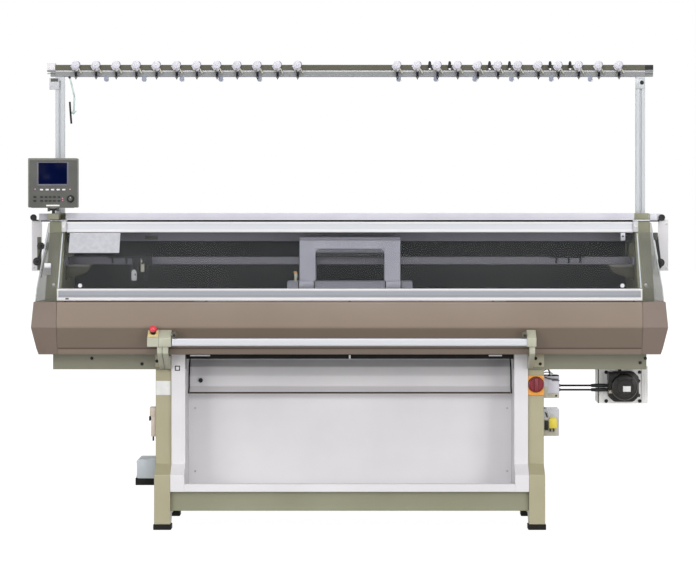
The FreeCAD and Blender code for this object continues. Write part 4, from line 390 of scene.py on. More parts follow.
class Bench:
    """One new piece in the making."""

    def __init__(self, name, body="base", at=None):
        self.name = name
        self.body = body
        self.at = Matrix.Scale(mm, 4) @ (at or Matrix.Identity(4))
        self.mesh = bmesh.new()
        self.finishes = []

    def keep(self, solid, material, edge=0.0):
        """Take a solid over into the piece, with its sharp edges broken by edge."""
        if material not in self.finishes:
            self.finishes.append(material)
        bmesh.ops.recalc_face_normals(solid, faces=solid.faces)
        if edge:
            sharp = [e for e in solid.edges if len(e.link_faces) == 2 and e.calc_face_angle() > 0.55]
            bmesh.ops.bevel(solid, geom=sharp, offset=edge, segments=2, profile=0.5, affect="EDGES",
                            clamp_overlap=True)
        for face in solid.faces:
            face.material_index = self.finishes.index(material)
        bmesh.ops.transform(solid, matrix=self.at, verts=solid.verts)
        store = bpy.data.meshes.new("store")
        solid.to_mesh(store)
        solid.free()
        self.mesh.from_mesh(store)
        bpy.data.meshes.remove(store)
        return self

    def block(self, low, high, material, edge=0.8):
        """A box between two corners."""
        solid = bmesh.new()
        middle = [(a + b) / 2 for a, b in zip(low, high)]
        size = [b - a for a, b in zip(low, high)]
        place = Matrix.Translation(middle) @ Matrix.Diagonal((*size, 1))
        bmesh.ops.create_cube(solid, size=1, matrix=place)
        return self.keep(solid, material, edge)

    def plate(self, outline, axis, start, depth, material, edge=0.6):
        """A flat outline square to an axis, given a depth."""
        solid = bmesh.new()
        levels = (start, start + depth)
        rings = [[solid.verts.new(point(axis, level, *spot)) for spot in outline] for level in levels]
        solid.faces.new(rings[0])
        solid.faces.new(rings[1])
        for i in range(len(outline)):
            j = (i + 1) % len(outline)
            solid.faces.new((rings[0][i], rings[0][j], rings[1][j], rings[1][i]))
        return self.keep(solid, material, edge)

    def turned(self, centre, axis, profile, material, sides=32):
        """A lathe shape: profile is (distance along the axis, radius) from one end to the other."""
        solid = bmesh.new()
        along, first, second = AXES[axis]
        rings = []
        for distance, radius in profile:
            level = centre[along] + distance
            if radius == 0:
                rings.append([solid.verts.new(point(axis, level, centre[first], centre[second]))])
                continue
            turns = [math.tau * i / sides for i in range(sides)]
            rings.append([solid.verts.new(point(axis, level, centre[first] + radius * math.cos(t),
                                                centre[second] + radius * math.sin(t))) for t in turns])
        for ring in (rings[0], rings[-1]):
            if len(ring) > 1:
                solid.faces.new(ring)
        for low, high in zip(rings, rings[1:]):
            for i in range(sides):
                j = (i + 1) % sides
                corners = [low[i % len(low)], low[j % len(low)], high[j % len(high)], high[i % len(high)]]
                solid.faces.new(list(dict.fromkeys(corners)))
        return self.keep(solid, material)

    def wire(self, path, radius, material, sides=10, rounds=6):
        """A round bar that follows a smoothed path."""
        spots = smoothed([Vector(p) for p in path], rounds)
        solid = bmesh.new()
        rings = []
        side = None
        for i, spot in enumerate(spots):
            ahead = (spots[min(i + 1, len(spots) - 1)] - spots[max(i - 1, 0)]).normalized()
            side = side or ahead.orthogonal()
            side = (side - ahead * side.dot(ahead)).normalized()
            up = ahead.cross(side)
            turns = [math.tau * k / sides for k in range(sides)]
            rim = [spot + radius * (side * math.cos(t) + up * math.sin(t)) for t in turns]
            rings.append([solid.verts.new(place) for place in rim])
        solid.faces.new(rings[0])
        solid.faces.new(rings[-1])
        for low, high in zip(rings, rings[1:]):
            for k in range(sides):
                m = (k + 1) % sides
                solid.faces.new((low[k], low[m], high[m], high[k]))
        return self.keep(solid, material)

    def done(self, replaces=(), angle=35):
        """The finished piece, riding on its body."""
        data = bpy.data.meshes.new(self.name)
        self.mesh.to_mesh(data)
        self.mesh.free()
        for material in self.finishes:
            data.materials.append(material)
        piece = bpy.data.objects.new(self.name, data)
        bpy.context.scene.collection.objects.link(piece)
        smooth(piece, angle)
        if self.body:
            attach(piece, self.body)
        if replaces:
            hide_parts(*replaces)
        print(self.name, "rides on", self.body, "with", len(data.polygons), "faces")
        return piece


def smoothed(spots, rounds):
    """Points of a curve through the given ones, rounds of them to each run."""
    if rounds < 2 or len(spots) < 3:
        return spots
    ends = [spots[0] * 2 - spots[1]] + spots + [spots[-1] * 2 - spots[-2]]
    curve = []
    for a, b, c, d in zip(ends, ends[1:], ends[2:], ends[3:]):
        for k in range(rounds):
            t = k / rounds
            curve.append(0.5 * (2 * b + (c - a) * t + (2 * a - 5 * b + 4 * c - d) * t ** 2
                                + (3 * b - a - 3 * c + d) * t ** 3))
    return curve + [spots[-1]]


def rounded(outline, radius, steps=4):
    """An outline with its corners rounded."""
    result = []
    count = len(outline)
    for i in range(count):
        corner = Vector(outline[i])
        before = Vector(outline[i - 1]) - corner
        after = Vector(outline[(i + 1) % count]) - corner
        cut = min(radius, before.length / 2.2, after.length / 2.2)
        start, end = corner + before.normalized() * cut, corner + after.normalized() * cut
        for k in range(steps + 1):
            t = k / steps
            result.append(tuple(start * (1 - t) ** 2 + corner * 2 * t * (1 - t) + end * t ** 2))
    return result


def rectangle(x, y):
    """The corners of a rectangle from its two spans."""
    return [(x[0], y[0]), (x[1], y[0]), (x[1], y[1]), (x[0], y[1])]


print("the bench is ready")

# %% [markdown]
# ## Copies by Geometry Nodes
# Screws, springs, needles and tension units repeat many times. A loop that copies meshes would do, but a
# small Geometry Nodes tree says the rule once: a point for each copy, a template, a turn and a finish. Each
# tree is run on its points once and kept as a plain mesh, so that it rides as any other piece.

# %% Growing a piece from a tree
def new_tree(name, inputs):
    """An empty tree with named inputs beside its geometry."""
    tree = bpy.data.node_groups.new(name, "GeometryNodeTree")
    tree.interface.new_socket("Geometry", in_out="INPUT", socket_type="NodeSocketGeometry")
    tree.interface.new_socket("Geometry", in_out="OUTPUT", socket_type="NodeSocketGeometry")
    for label, kind in inputs.items():
        tree.interface.new_socket(label, in_out="INPUT", socket_type="NodeSocket" + kind)
    return tree, add_node(tree, "NodeGroupInput").outputs, add_node(tree, "NodeGroupOutput")


def grown(name, tree, values, body, spots=((0, 0, 0),), replaces=()):
    """Run a tree on points given in millimetres, and keep the result as a plain piece."""
    points = bpy.data.meshes.new(name + "_points")
    points.from_pydata([Vector(spot) * mm for spot in spots], [], [])
    piece = bpy.data.objects.new(name, points)
    bpy.context.scene.collection.objects.link(piece)
    modifier = piece.modifiers.new("tree", "NODES")
    modifier.node_group = tree
    for item in tree.interface.items_tree:
        if item.in_out == "INPUT" and item.name in values:
            modifier[item.identifier] = values[item.name]
    depsgraph = bpy.context.evaluated_depsgraph_get()
    plain = bpy.data.meshes.new_from_object(piece.evaluated_get(depsgraph))
    piece.modifiers.clear()
    piece.data = plain
    smooth(piece)
    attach(piece, body)
    if replaces:
        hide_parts(*replaces)
    print(name, "grows on", body, "with", len(plain.polygons), "faces")
    return piece


def copies(name, templates, spots, body, turn=(0, 0, 0), replaces=()):
    """Every template, each in its one finish, on every point. The templates are used up."""
    inputs = {"Turn": "Vector"}
    for k in range(len(templates)):
        inputs["Template %d" % k] = "Object"
        inputs["Finish %d" % k] = "Material"
    tree, given, end = new_tree(name + "_copies", inputs)
    join = add_node(tree, "GeometryNodeJoinGeometry")
    values = {"Turn": turn}
    for k, template in enumerate(templates):
        values["Template %d" % k] = template
        values["Finish %d" % k] = template.data.materials[0]
        source = add_node(tree, "GeometryNodeObjectInfo", {"Object": given["Template %d" % k]})
        placed = add_node(tree, "GeometryNodeInstanceOnPoints",
                          {"Points": given["Geometry"], "Instance": source.outputs["Geometry"],
                           "Rotation": given["Turn"]})
        real = add_node(tree, "GeometryNodeRealizeInstances", {"Geometry": placed.outputs[0]})
        dressed = add_node(tree, "GeometryNodeSetMaterial",
                           {"Geometry": real.outputs[0], "Material": given["Finish %d" % k]})
        tree.links.new(dressed.outputs[0], join.inputs[0])
    tree.links.new(join.outputs[0], end.inputs[0])
    piece = grown(name, tree, values, body, spots, replaces)
    for template in templates:
        bpy.data.objects.remove(template)
    return piece


def template(name, *shapes):
    """A small piece in one finish, to be copied: each shape is a bench call and its values."""
    bench = Bench(name, None)
    for kind, *values in shapes:
        getattr(bench, kind)(*values)
    return bench.done()


print("copies can grow")

# %% [markdown]
# ## Coil springs
# A yarn tensioner holds its discs together with a small coil spring. Its wire follows a spiral, so a tree
# makes it: a spiral curve, a round wire swept along it, and its finish.

# %% A coil spring tree
coil_tree, given, end = new_tree("coil_spring", {"Turns": "Float", "Radius": "Float", "Height": "Float",
                                                 "Wire": "Float", "Finish": "Material"})
spiral = add_node(coil_tree, "GeometryNodeCurveSpiral", {"Resolution": 10, "Rotations": given["Turns"],
                                                         "Start Radius": given["Radius"],
                                                         "End Radius": given["Radius"],
                                                         "Height": given["Height"]})
section = add_node(coil_tree, "GeometryNodeCurvePrimitiveCircle", {"Resolution": 5, "Radius": given["Wire"]})
wire = add_node(coil_tree, "GeometryNodeCurveToMesh", {"Curve": spiral.outputs[0],
                                                       "Profile Curve": section.outputs[0],
                                                       "Fill Caps": True})
placed = add_node(coil_tree, "GeometryNodeInstanceOnPoints", {"Points": given["Geometry"],
                                                              "Instance": wire.outputs[0]})
real = add_node(coil_tree, "GeometryNodeRealizeInstances", {"Geometry": placed.outputs[0]})
dressed = add_node(coil_tree, "GeometryNodeSetMaterial", {"Geometry": real.outputs[0],
                                                          "Material": given["Finish"]})
coil_tree.links.new(dressed.outputs[0], end.inputs[0])


def coils(name, spots, radius, height, turns, wire, body, finish):
    """Coil springs that start at their spots and run up. Lengths in millimetres."""
    return grown(name, coil_tree, {"Turns": float(turns), "Radius": radius * mm, "Height": height * mm,
                                   "Wire": wire * mm, "Finish": finish}, body, spots)


print("the coil tree has", len(coil_tree.nodes), "nodes")

# %% [markdown]
# ## The folded covers
# The long covers are 3 mm sheet steel, folded on a press brake, so each fold has a small radius and the sheet
# keeps its thickness. The outline is drawn once, its inner side is set off by the thickness, both get their
# corners rounded, and the closed outline is drawn out along the machine. The facet in the middle faces down
# into the shade of the one above it, and that shade is painted on it as a darker brown.

# %% Front and rear covers
def folded(profile, thickness, bend):
    """The outline of a folded sheet: a profile, its copy set off by the thickness, and rounded folds."""
    spots = [Vector(p) for p in profile]
    inner = []
    for i, spot in enumerate(spots):
        before = (spot - spots[i - 1]).normalized() if i else (spots[1] - spot).normalized()
        after = (spots[i + 1] - spot).normalized() if i + 1 < len(spots) else before
        normal = Vector((before.y + after.y, -before.x - after.x)).normalized()
        inner.append(spot + normal * thickness / max(normal.dot(Vector((before.y, -before.x))), 0.3))
    outer = [tuple(spots[0])] + open_rounded(spots, bend) + [tuple(spots[-1])]
    inside = [tuple(inner[0])] + open_rounded(inner, max(bend - thickness, 0.5)) + [tuple(inner[-1])]
    return outer + inside[::-1]


def open_rounded(spots, radius, steps=5):
    """The corners between the ends of an open line, rounded."""
    result = []
    for before, corner, after in zip(spots, spots[1:], spots[2:]):
        toward, away = before - corner, after - corner
        cut = min(radius, toward.length / 2.2, away.length / 2.2)
        start, stop = corner + toward.normalized() * cut, corner + away.normalized() * cut
        for k in range(steps + 1):
            t = k / steps
            result.append(tuple(start * (1 - t) ** 2 + corner * 2 * t * (1 - t) + stop * t ** 2))
    return result


cover_line = [(295, 987), (378, 987), (390, 877), (352, 786), (340, 759), (250, 759)]
gusset_line = [(298, 984), (374, 984), (386, 878), (349, 788), (337, 763), (298, 763)]
cover_half, sheet_thickness, fold_radius = 1260, 3, 9
shaded_band = (0.788, 0.876)


def shade_middle(piece, low, high):
    """Paint shade on the faces of a brown cover between two heights, as the darker brown."""
    piece.data.materials.append(painted_shade_brown)
    for face in piece.data.polygons:
        if low < face.center.z < high and piece.data.materials[face.material_index] == brown_enamel:
            face.material_index = len(piece.data.materials) - 1


for side, name in ((-1, "front"), (1, "rear")):
    bench = Bench(name + "_cover_sheet")
    sheet = folded([(side * reach, height) for reach, height in cover_line],
                   sheet_thickness * side, fold_radius)
    bench.plate(sheet, "x", -cover_half, 2 * cover_half, brown_enamel, 0)
    gusset = [(side * reach, height) for reach, height in gusset_line]
    for rib in (-1100, 0, 1100):
        bench.plate(gusset, "x", rib - 2, 4, brown_enamel, 0.4)
    hem = [(side * 352.4, 783), (side * 354.2, 787.5), (side * 352.6, 790), (side * 350.5, 786)]
    bench.plate(hem, "x", 2 - cover_half, 2 * cover_half - 4, seam_enamel, 0)
    shade_middle(bench.done(replaces=[name + "_cover"], angle=20), *shaded_band)

# %% [markdown]
# ## The needle beds
# A knitting bed is a steel plate milled with a groove every 5 mm, and a latch needle slides in each groove.
# The CAD has a coarse stand-in. Here the walls between the grooves and the needles are two thin templates,
# and a tree lays them out in a row with a count and a pitch. There are hundreds, so each has only a few
# faces.

# %% A row tree, and both needle beds
row_tree, given, end = new_tree("row_along_the_bed", {"Count": "Int", "Pitch": "Float", "Template": "Object",
                                                      "Finish": "Material"})
gaps = add_node(row_tree, "ShaderNodeMath", {0: given["Count"], 1: 1.0}, operation="SUBTRACT")
span = add_node(row_tree, "ShaderNodeMath", {0: gaps.outputs[0], 1: given["Pitch"]}, operation="MULTIPLY")
left = add_node(row_tree, "ShaderNodeMath", {0: span.outputs[0], 1: -0.5}, operation="MULTIPLY")
start = add_node(row_tree, "ShaderNodeCombineXYZ", {"X": left.outputs[0]})
step = add_node(row_tree, "ShaderNodeCombineXYZ", {"X": given["Pitch"]})
line = add_node(row_tree, "GeometryNodeMeshLine", {"Count": given["Count"],
                                                   "Start Location": start.outputs[0],
                                                   "Offset": step.outputs[0]})
source = add_node(row_tree, "GeometryNodeObjectInfo", {"Object": given["Template"]})
placed = add_node(row_tree, "GeometryNodeInstanceOnPoints", {"Points": line.outputs[0],
                                                             "Instance": source.outputs["Geometry"]})
real = add_node(row_tree, "GeometryNodeRealizeInstances", {"Geometry": placed.outputs[0]})
dressed = add_node(row_tree, "GeometryNodeSetMaterial", {"Geometry": real.outputs[0],
                                                         "Material": given["Finish"]})
row_tree.links.new(dressed.outputs[0], end.inputs[0])


def row(name, shape, count, pitch, body):
    """A row of one template along X, centred, at a pitch in millimetres."""
    piece = grown(name, row_tree, {"Count": count, "Pitch": pitch * mm, "Template": shape,
                                   "Finish": shape.data.materials[0]}, body)
    bpy.data.objects.remove(shape)
    return piece


def sloped(side, spots):
    """Spots of a bed's section, given for the rear bed, for either side."""
    return [(side * reach, height) for reach, height in spots]


bed_half, groove_pitch, groove_count = 690, 5, 275
for side, name, body in ((-1, "front", "base"), (1, "rear", "rear_bed")):
    bench = Bench(name + "_bed_plate", body)
    plate = sloped(side, [(8, 995), (175.5, 827.5), (153.4, 805.4), (8, 950.5)])
    bench.plate(plate, "x", -bed_half, 2 * bed_half, ground_steel, 0.6)
    band = sloped(side, [(52, 956.6), (64, 944.6), (61, 941.6), (49, 953.6)])
    bench.plate(band, "x", -bed_half, 2 * bed_half, needle_steel, 0.3)
    bench.done(replaces=[name + "_needle_bed"])
    wall = sloped(side, [(8, 1000), (178, 830), (175.5, 827.5), (8, 995)])
    wall_shape = template("wall", ("plate", wall, "x", -0.8, 1.6, ground_steel, 0))
    row(name + "_bed_walls", wall_shape, groove_count + 1, groove_pitch, body)
    needle = sloped(side, [(8, 996.5), (144, 860.5), (144, 868), (139, 873), (139, 867), (12, 994),
                           (10.5, 999.5), (8, 999.5)])
    needle_shape = template("needle", ("plate", needle, "x", -0.5, 1.0, needle_steel, 0))
    row(name + "_bed_needles", needle_shape, groove_count, groove_pitch, body)

# %% [markdown]
# ## The yarn tension units
# Twenty-four small tensioners hang on the front of the olive plate: a pair of dished discs on a pale body, a
# dark rim behind them, a cream arm, and a spring column with a pointed end under each. One unit is made of
# templates, one for each finish, and the copying tree puts it on every place.

# %% Tension units
units_a_side, unit_pitch, first_unit, unit_shift = 12, 90, 222, -14
unit_places = [(side * (first_unit + unit_pitch * k) + unit_shift, 0, 0) for side in (-1, 1)
               for k in range(units_a_side)]
discs = [(0, 7), (0, 15), (-1.5, 17.5), (-3, 15.5), (-5, 9), (-7, 15.5), (-8.5, 17.5), (-10, 15),
         (-11.5, 11), (-11.5, 0)]
pale_body = [(-16, 2034), (-24, 2027), (-13, 2008), (4, 2002), (12, 2010), (15, 2028)]
dark_rim = [(0, 4), (0, 13), (-4, 13.5), (-5, 11.5), (-5, 0)]
disc_cap = [(0, 5), (-3, 5), (-4.5, 4), (-4.5, 0)]
cream_arm = [(10, 2018), (15, 2020), (27, 1997), (22, 1994)]
unit_shapes = [
    template("discs", ("turned", (0, 86, 2032), "y", discs, lavender_powder, 20),
             ("plate", pale_body, "y", 87, 4, lavender_powder, 1)),
    template("blacks", ("turned", (-1, 87, 2016), "y", [(0, 3.4), (-2, 3.4), (-3, 2.4), (-3, 0)],
                        black_plastic, 10),
             ("turned", (2, 79, 1972), "z", [(-7, 0), (0, 3.4), (32, 3.4), (32, 0)], black_plastic, 8)),
    template("rims", ("turned", (7, 96, 2035.5), "y", dark_rim, bezel_plastic, 16),
             ("block", (-5, 89, 1982), (9, 96, 2004), bezel_plastic, 0.8)),
    template("caps", ("turned", (0, 75, 2032), "y", disc_cap, white_powder, 14)),
    template("bars", ("block", (-13, 83, 2006), (-2, 87, 2010), brown_enamel, 0.8)),
    template("arms", ("plate", cream_arm, "y", 90, 3, cream_plastic, 0.6),
             ("turned", (24, 93, 1997), "y", [(0, 3.4), (-8, 3.4), (-9, 2.4), (-9, 0)], cream_plastic, 10)),
    template("collars", ("turned", (2, 79, 1974), "z", [(0, 3.6), (0, 6.6), (4, 6.6), (4, 3.6)],
                         edge_plastic, 14),
             ("turned", (2, 79, 2000), "z", [(0, 3.6), (0, 7), (5, 7), (5, 3.6)], edge_plastic, 14)),
]
copies("tension_unit_set", unit_shapes, unit_places, "base", replaces=["tension_units"])
coils("tension_springs", [(x + 2, 79, 1978) for x, _, _ in unit_places], 5.2, 22, 7, 1.2, "base", black_oxide)

# %% [markdown]
# ## The drive motor
# The motor is a black servo motor: a square flange with cut corners, a round can with a ring on its face, a
# terminal head at its upper left and two cable plugs. It is turned and cut on the bench round the middle of
# the shaft, to the CAD's sizes.

# %% Drive motor
motor_x, motor_z = 1208, 604
lead_heights = (589.0, 608.0)
lead_start, lead_end = 917, 1065
bench = Bench("servo_motor")
flange = [(-67, -43), (-43, -67), (43, -67), (67, -43), (67, 43), (43, 67), (-43, 67), (-67, 43)]
flange = rounded([(motor_x + x, motor_z + z) for x, z in flange], 8)
bench.plate(flange, "y", -60, 60, motor_enamel, 2)
step = [(motor_x + (x - motor_x) * 0.93, motor_z + (z - motor_z) * 0.93) for x, z in flange]
bench.plate(step, "y", -66, 6, motor_enamel, 1.5)
can = [(2, 58), (-44, 58), (-50, 55), (-52, 50), (-52, 38), (-50, 37), (-50, 33), (-52, 32), (-52, 12),
       (-54, 11), (-55, 9), (-55, 0)]
bench.turned((motor_x, -60, motor_z), "y", can, motor_enamel, 48)
for turn in range(4):
    angle = math.tau * (turn + 0.5) / 4
    spot = (motor_x + 45 * math.cos(angle), -110, motor_z + 45 * math.sin(angle))
    bench.turned(spot, "y", [(0, 4), (-3.5, 4), (-4.5, 3), (-4.5, 2), (-3, 2), (-3, 0)], black_oxide, 12)
bench.block((1139, -92, 630), (1188, -8, 668), motor_enamel, 2.5)
bench.block((1143, -96, 634), (1184, -90, 664), black_plastic, 1.5)
bench.block((1141, -72, 575), (1166, -58, 588), cream_plastic, 1.2)
bench.block((1200, -115.6, 584.5), (1234, -114.6, 609), bare_label, 0.3)
plug = [(0, 4.3), (0, 6.5), (22, 8.2), (24, 8.5), (60, 8.5), (62, 7.5), (80, 7.5)]
sleeve_ring = [(0, 6.0), (0, 7.9), (1.6, 7.9), (1.6, 6.0)]
for height in lead_heights:
    bench.turned((lead_end, -40, height), "x", plug, black_plastic, 20)
    for k in range(1, 6):
        bench.turned((lead_end + k * 4, -40, height), "x", sleeve_ring, black_rubber, 16)
bench.done(replaces=["drive_motor"])

# %% [markdown]
# ## Screws
# Socket-head screws hold the beam, the lower panel and the posts. One head is turned on the bench with its
# socket as a recess, and the copying tree puts it on every place that has the same direction.

# %% Screw heads
def screws(name, spots, radius, body="base", finish=black_oxide, turn=(math.radians(90), 0, 0)):
    """Socket heads that stand on their spots and look along the turned Z, which is the front at first."""
    head = [(0, radius), (radius * 0.55, radius), (radius * 0.7, radius * 0.85), (radius * 0.7, radius * 0.5),
            (radius * 0.3, radius * 0.5), (radius * 0.3, 0)]
    shape = template(name + "_head", ("turned", (0, 0, 0), "z", head, finish, 14))
    return copies(name, [shape], spots, body, turn)


beam_bolts = [(-1121, 738), (-903, 714), (1285, 738), (1262, 719)]
screws("beam_bolts", [(x, -250, z) for x, z in beam_bolts], 7)
screws("bracket_bolts", [(x, -254, z) for x, z in ((-838, 726), (808, 738), (828, 714))], 7)
screws("panel_screws", [(x, 0, z) for x in (-687, 697) for z in (505, 226)], 4.5, finish=zinc_steel)
housing_spots = [(1135, 537), (1284, 537), (1135, 665), (1284, 665), (1195, 675), (1279, 626), (1279, 562)]
screws("housing_screws", [(x, -3, z) for x, z in housing_spots], 8)
screws("post_screws", [(x, 100, z) for x in (-1330, 1307) for z in (1954, 1936)], 4)
screws("cabinet_screws", [(x, 293, z) for x in (-660, 0, 660) for z in (205, 560)], 5,
       turn=(math.radians(-90), 0, 0))
screws("cover_screws", [(x, y, 987) for x in (-1230, -620, 0, 620, 1230) for y in (-310, 310)], 5,
       turn=(0, 0, 0))

# %% [markdown]
# ## The stop button and its box
# An emergency stop is a red mushroom head on a dark stem, in a yellow collar, and it stands square to the
# sloping top of its box. The bench is tilted once, and everything is turned round its own Z.

# %% Stop button
slope = Matrix.Translation((-841.5, -421, 851)) @ Matrix.Rotation(math.radians(30.38), 4, "X")
bench = Bench("stop_collar", "base", slope)
bench.turned((0, 0, 0), "z", [(-0.5, 16), (1.5, 16), (3, 14.5), (3, 11.5), (-0.5, 11.5)], collar_plastic, 28)
bench.plate(rounded(rectangle((-22, 22), (-23, 23)), 4), "z", -0.4, 1.6, collar_plastic, 0.5)
bench.done()
bench = Bench("stop_mushroom", "stop_button", slope)
bench.turned((0, 0, 0), "z", [(-22, 9), (10, 9), (10, 13.2), (21, 14.2)], black_plastic, 28)
cap = [(18, 9), (18, 15), (20, 16.6), (23, 17.2), (28, 17), (32, 15), (35, 11), (36.4, 5.5), (36.6, 0)]
bench.turned((0, 0, 0), "z", cap, stop_red, 36)
bench.done(replaces=["stop_button"], angle=50)

# %% [markdown]
# ## The main switch
# The rotary main switch is a yellow plate with a dark red rotor, whose wide grip turns like a key on a dark
# hub. The ring round the rotor stays on the plate.

# %% Main switch
switch_x, switch_z = 810, 624
bench = Bench("switch_rotor", "main_switch")
rotor = [(0, 33), (-12, 33), (-15, 31.5), (-16, 29), (-14.5, 27), (-14.5, 0)]
bench.turned((switch_x, -243.6, switch_z), "y", rotor, switch_red, 44)
grip = rounded([(x + switch_x, z + switch_z) for x, z in rectangle((-7, 7), (-28, 28))], 5)
bench.plate(grip, "y", -275, 14, switch_red, 2.5)
bench.turned((switch_x, -243, switch_z), "y", [(0, 6), (14, 6), (14, 0)], black_plastic, 14)
bench.done(replaces=["main_switch_rotor"])
bench = Bench("switch_ring")
rotor_ring = [(0, 35), (-0.6, 35), (-0.6, 33.4), (0, 33.4)]
bench.turned((switch_x, -243, switch_z), "y", rotor_ring, black_plastic, 40)
bench.done()
screws("switch_screws", [(x, -243, z) for x in (781, 839) for z in (585, 656)], 2.4, finish=zinc_steel)

# %% [markdown]
# ## The terminal boxes
# Two small boxes with their covers, a yellow connector in the lower one, and short black and white leads that
# loop from the leg into them. Each lead is a round wire swept along a smoothed path on the bench.

# %% Terminal boxes and their leads
bench = Bench("upper_terminal_face")
bench.plate(rounded(rectangle((867, 914), (583, 640)), 4), "y", -162.5, 3, lavender_powder, 0.8)
bench.block((846, -161.5, 561), (866, -159.5, 610), cream_plastic, 0.5)
bench.block((868, -162, 562), (915, -159.5, 581), cream_plastic, 0.6)
bench.turned((903, -160, 570), "y", [(-1, 4.5), (-4, 4.5), (-5, 3), (-5, 0)], black_oxide, 12)
bench.block((876, -150, 655), (916, -120, 660), black_plastic, 1)
bench.block((884, -163, 634), (918, -160, 638), black_plastic, 0.6)
gland = [(-1, 7.5), (6, 7.5), (7, 6.5), (12, 6.5), (14, 4.4), (14, 0)]
for height in reversed(lead_heights):
    bench.turned((lead_start, -40, height), "x", gland, black_plastic, 16)
bench.done()
bench = Bench("lower_terminal_face")
bench.plate(rounded(rectangle((848, 914), (474, 509)), 3), "y", -162, 3, grey_powder, 0.6)
bench.plate(rounded(rectangle((849, 913), (397, 470)), 3), "y", -162, 3, cream_plastic, 0.6)
bench.plate(rounded(rectangle((871, 906), (428, 470)), 5), "y", -178, 18, yellow_plastic, 1.2)
bench.plate(rectangle((876, 901), (463, 476)), "y", -173, 12, yellow_plastic, 0.8)
bench.block((853, -170, 420), (868, -160, 462), black_plastic, 1)
for left in (874, 889):
    bench.block((left, -174, 414), (left + 6, -165, 428), black_plastic, 0.8)
bench.done()
bench = Bench("terminal_leads")
white_paths = [[(845, -120, 684), (862, -150, 690), (878, -160, 674), (882, -150, 656)],
               [(845, -110, 664), (860, -146, 672), (886, -150, 668), (892, -140, 656)],
               [(845, -100, 512), (858, -140, 516), (868, -164, 500), (872, -163, 478)]]
black_paths = [[(845, -130, 676), (866, -156, 686), (874, -158, 668), (870, -150, 656)],
               [(845, -110, 652), (856, -166, 650), (880, -168, 644), (912, -164, 642)],
               [(845, -100, 500), (852, -150, 502), (860, -166, 490), (864, -163, 476)]]
for path in white_paths:
    bench.wire(path, 2.4, white_plastic, 8)
for path in black_paths:
    bench.wire(path, 2.4, black_rubber, 8)
bench.done()

# %% [markdown]
# ## The drive housing
# The cast housing behind the motor is sprayed white. It gets a whiter copy of the white powder coat as
# painted light, since it sits in the shade under the cover. A raised plate carries the motor, the bands
# beside it stand out as steps, and the left edge is a dark sealing strip.

# %% Housing bands
bench = Bench("housing_bands")
bench.block((1099, -1.5, 527), (1103, 10, 689), black_rubber, 0.6)
for low, high, depth in ((1106, 1112, 3), (1116, 1122, 6), (1292, 1298, 5), (1303, 1309, 3)):
    bench.block((low, -depth, 530), (high, 4, 688), housing_white_painted_light, 0.8)
bench.plate(rounded(rectangle((1120, 1288), (530, 688)), 10), "y", -3, 4, housing_white_painted_light, 1)
bench.done()

# %% [markdown]
# ## The suction unit and the sensor on the left leg
# The lint suction unit hangs on the left leg: a grey moulded housing on a black rubber base, with a low step
# on top. Its louvred inlet is on the far side, away from the leg. Above it sits a slim beige sensor. The leg
# carries a bare label, and a square plug sits in the white column.

# %% Suction unit and sensor
bench = Bench("suction_housing")
front = rounded([(-934, 207), (-845, 207), (-845, 290), (-934, 290)], 10)
bench.plate(front, "y", -150, 210, suction_enamel, 2)
bench.block((-878, -150, 288), (-845, -42, 294), suction_enamel, 1.5)
bench.block((-940, -148, 177), (-851, 58, 208), black_rubber, 2)
inlet_y, inlet_z, inlet_radius, slat_pitch = -45, 247, 21.5, 5.8
inlet_ring = [(1, 27), (-2, 27), (-3, 26), (-3, 23), (0.5, 22), (0.5, 0)]
bench.turned((-934, inlet_y, inlet_z), "x", inlet_ring, black_plastic, 30)
for k in range(-3, 4):
    half = math.sqrt(inlet_radius ** 2 - (k * slat_pitch) ** 2)
    bench.block((-937, inlet_y - half, inlet_z - 1 + k * slat_pitch),
                (-934.5, inlet_y + half, inlet_z + 1 + k * slat_pitch), suction_enamel, 0.3)
bench.done(replaces=["suction_unit"])
screws("suction_screws", [(-934, y, z) for y in (-138, 48) for z in (216, 278)], 3.2, finish=zinc_steel,
       turn=(0, math.radians(-90), 0))
bench = Bench("leg_sensor")
bench.block((-872, -222, 484), (-845, -170, 524), beige_enamel, 2.5)
bench.block((-866, -220, 396), (-845, -178, 486), beige_enamel, 1.5)
bench.block((-875, -222, 465), (-867, -200, 484), black_plastic, 1)
bench.block((-860, -220, 377), (-853, -205, 397), black_plastic, 1)
bench.done()
bench = Bench("bare_nameplate")
bench.plate(rounded(rectangle((-843, -780), (578, 639)), 2), "y", -235.8, 1, bare_label, 0.2)
bench.done()
bench = Bench("column_plug")
bench.plate(rectangle((-760, -738), (684, 706)), "y", -252.8, 1.2, black_plastic, 0.2)
bench.plate(rectangle((-756, -742), (688, 702)), "y", -253.6, 1.2, white_plastic, 0.2)
bench.done()
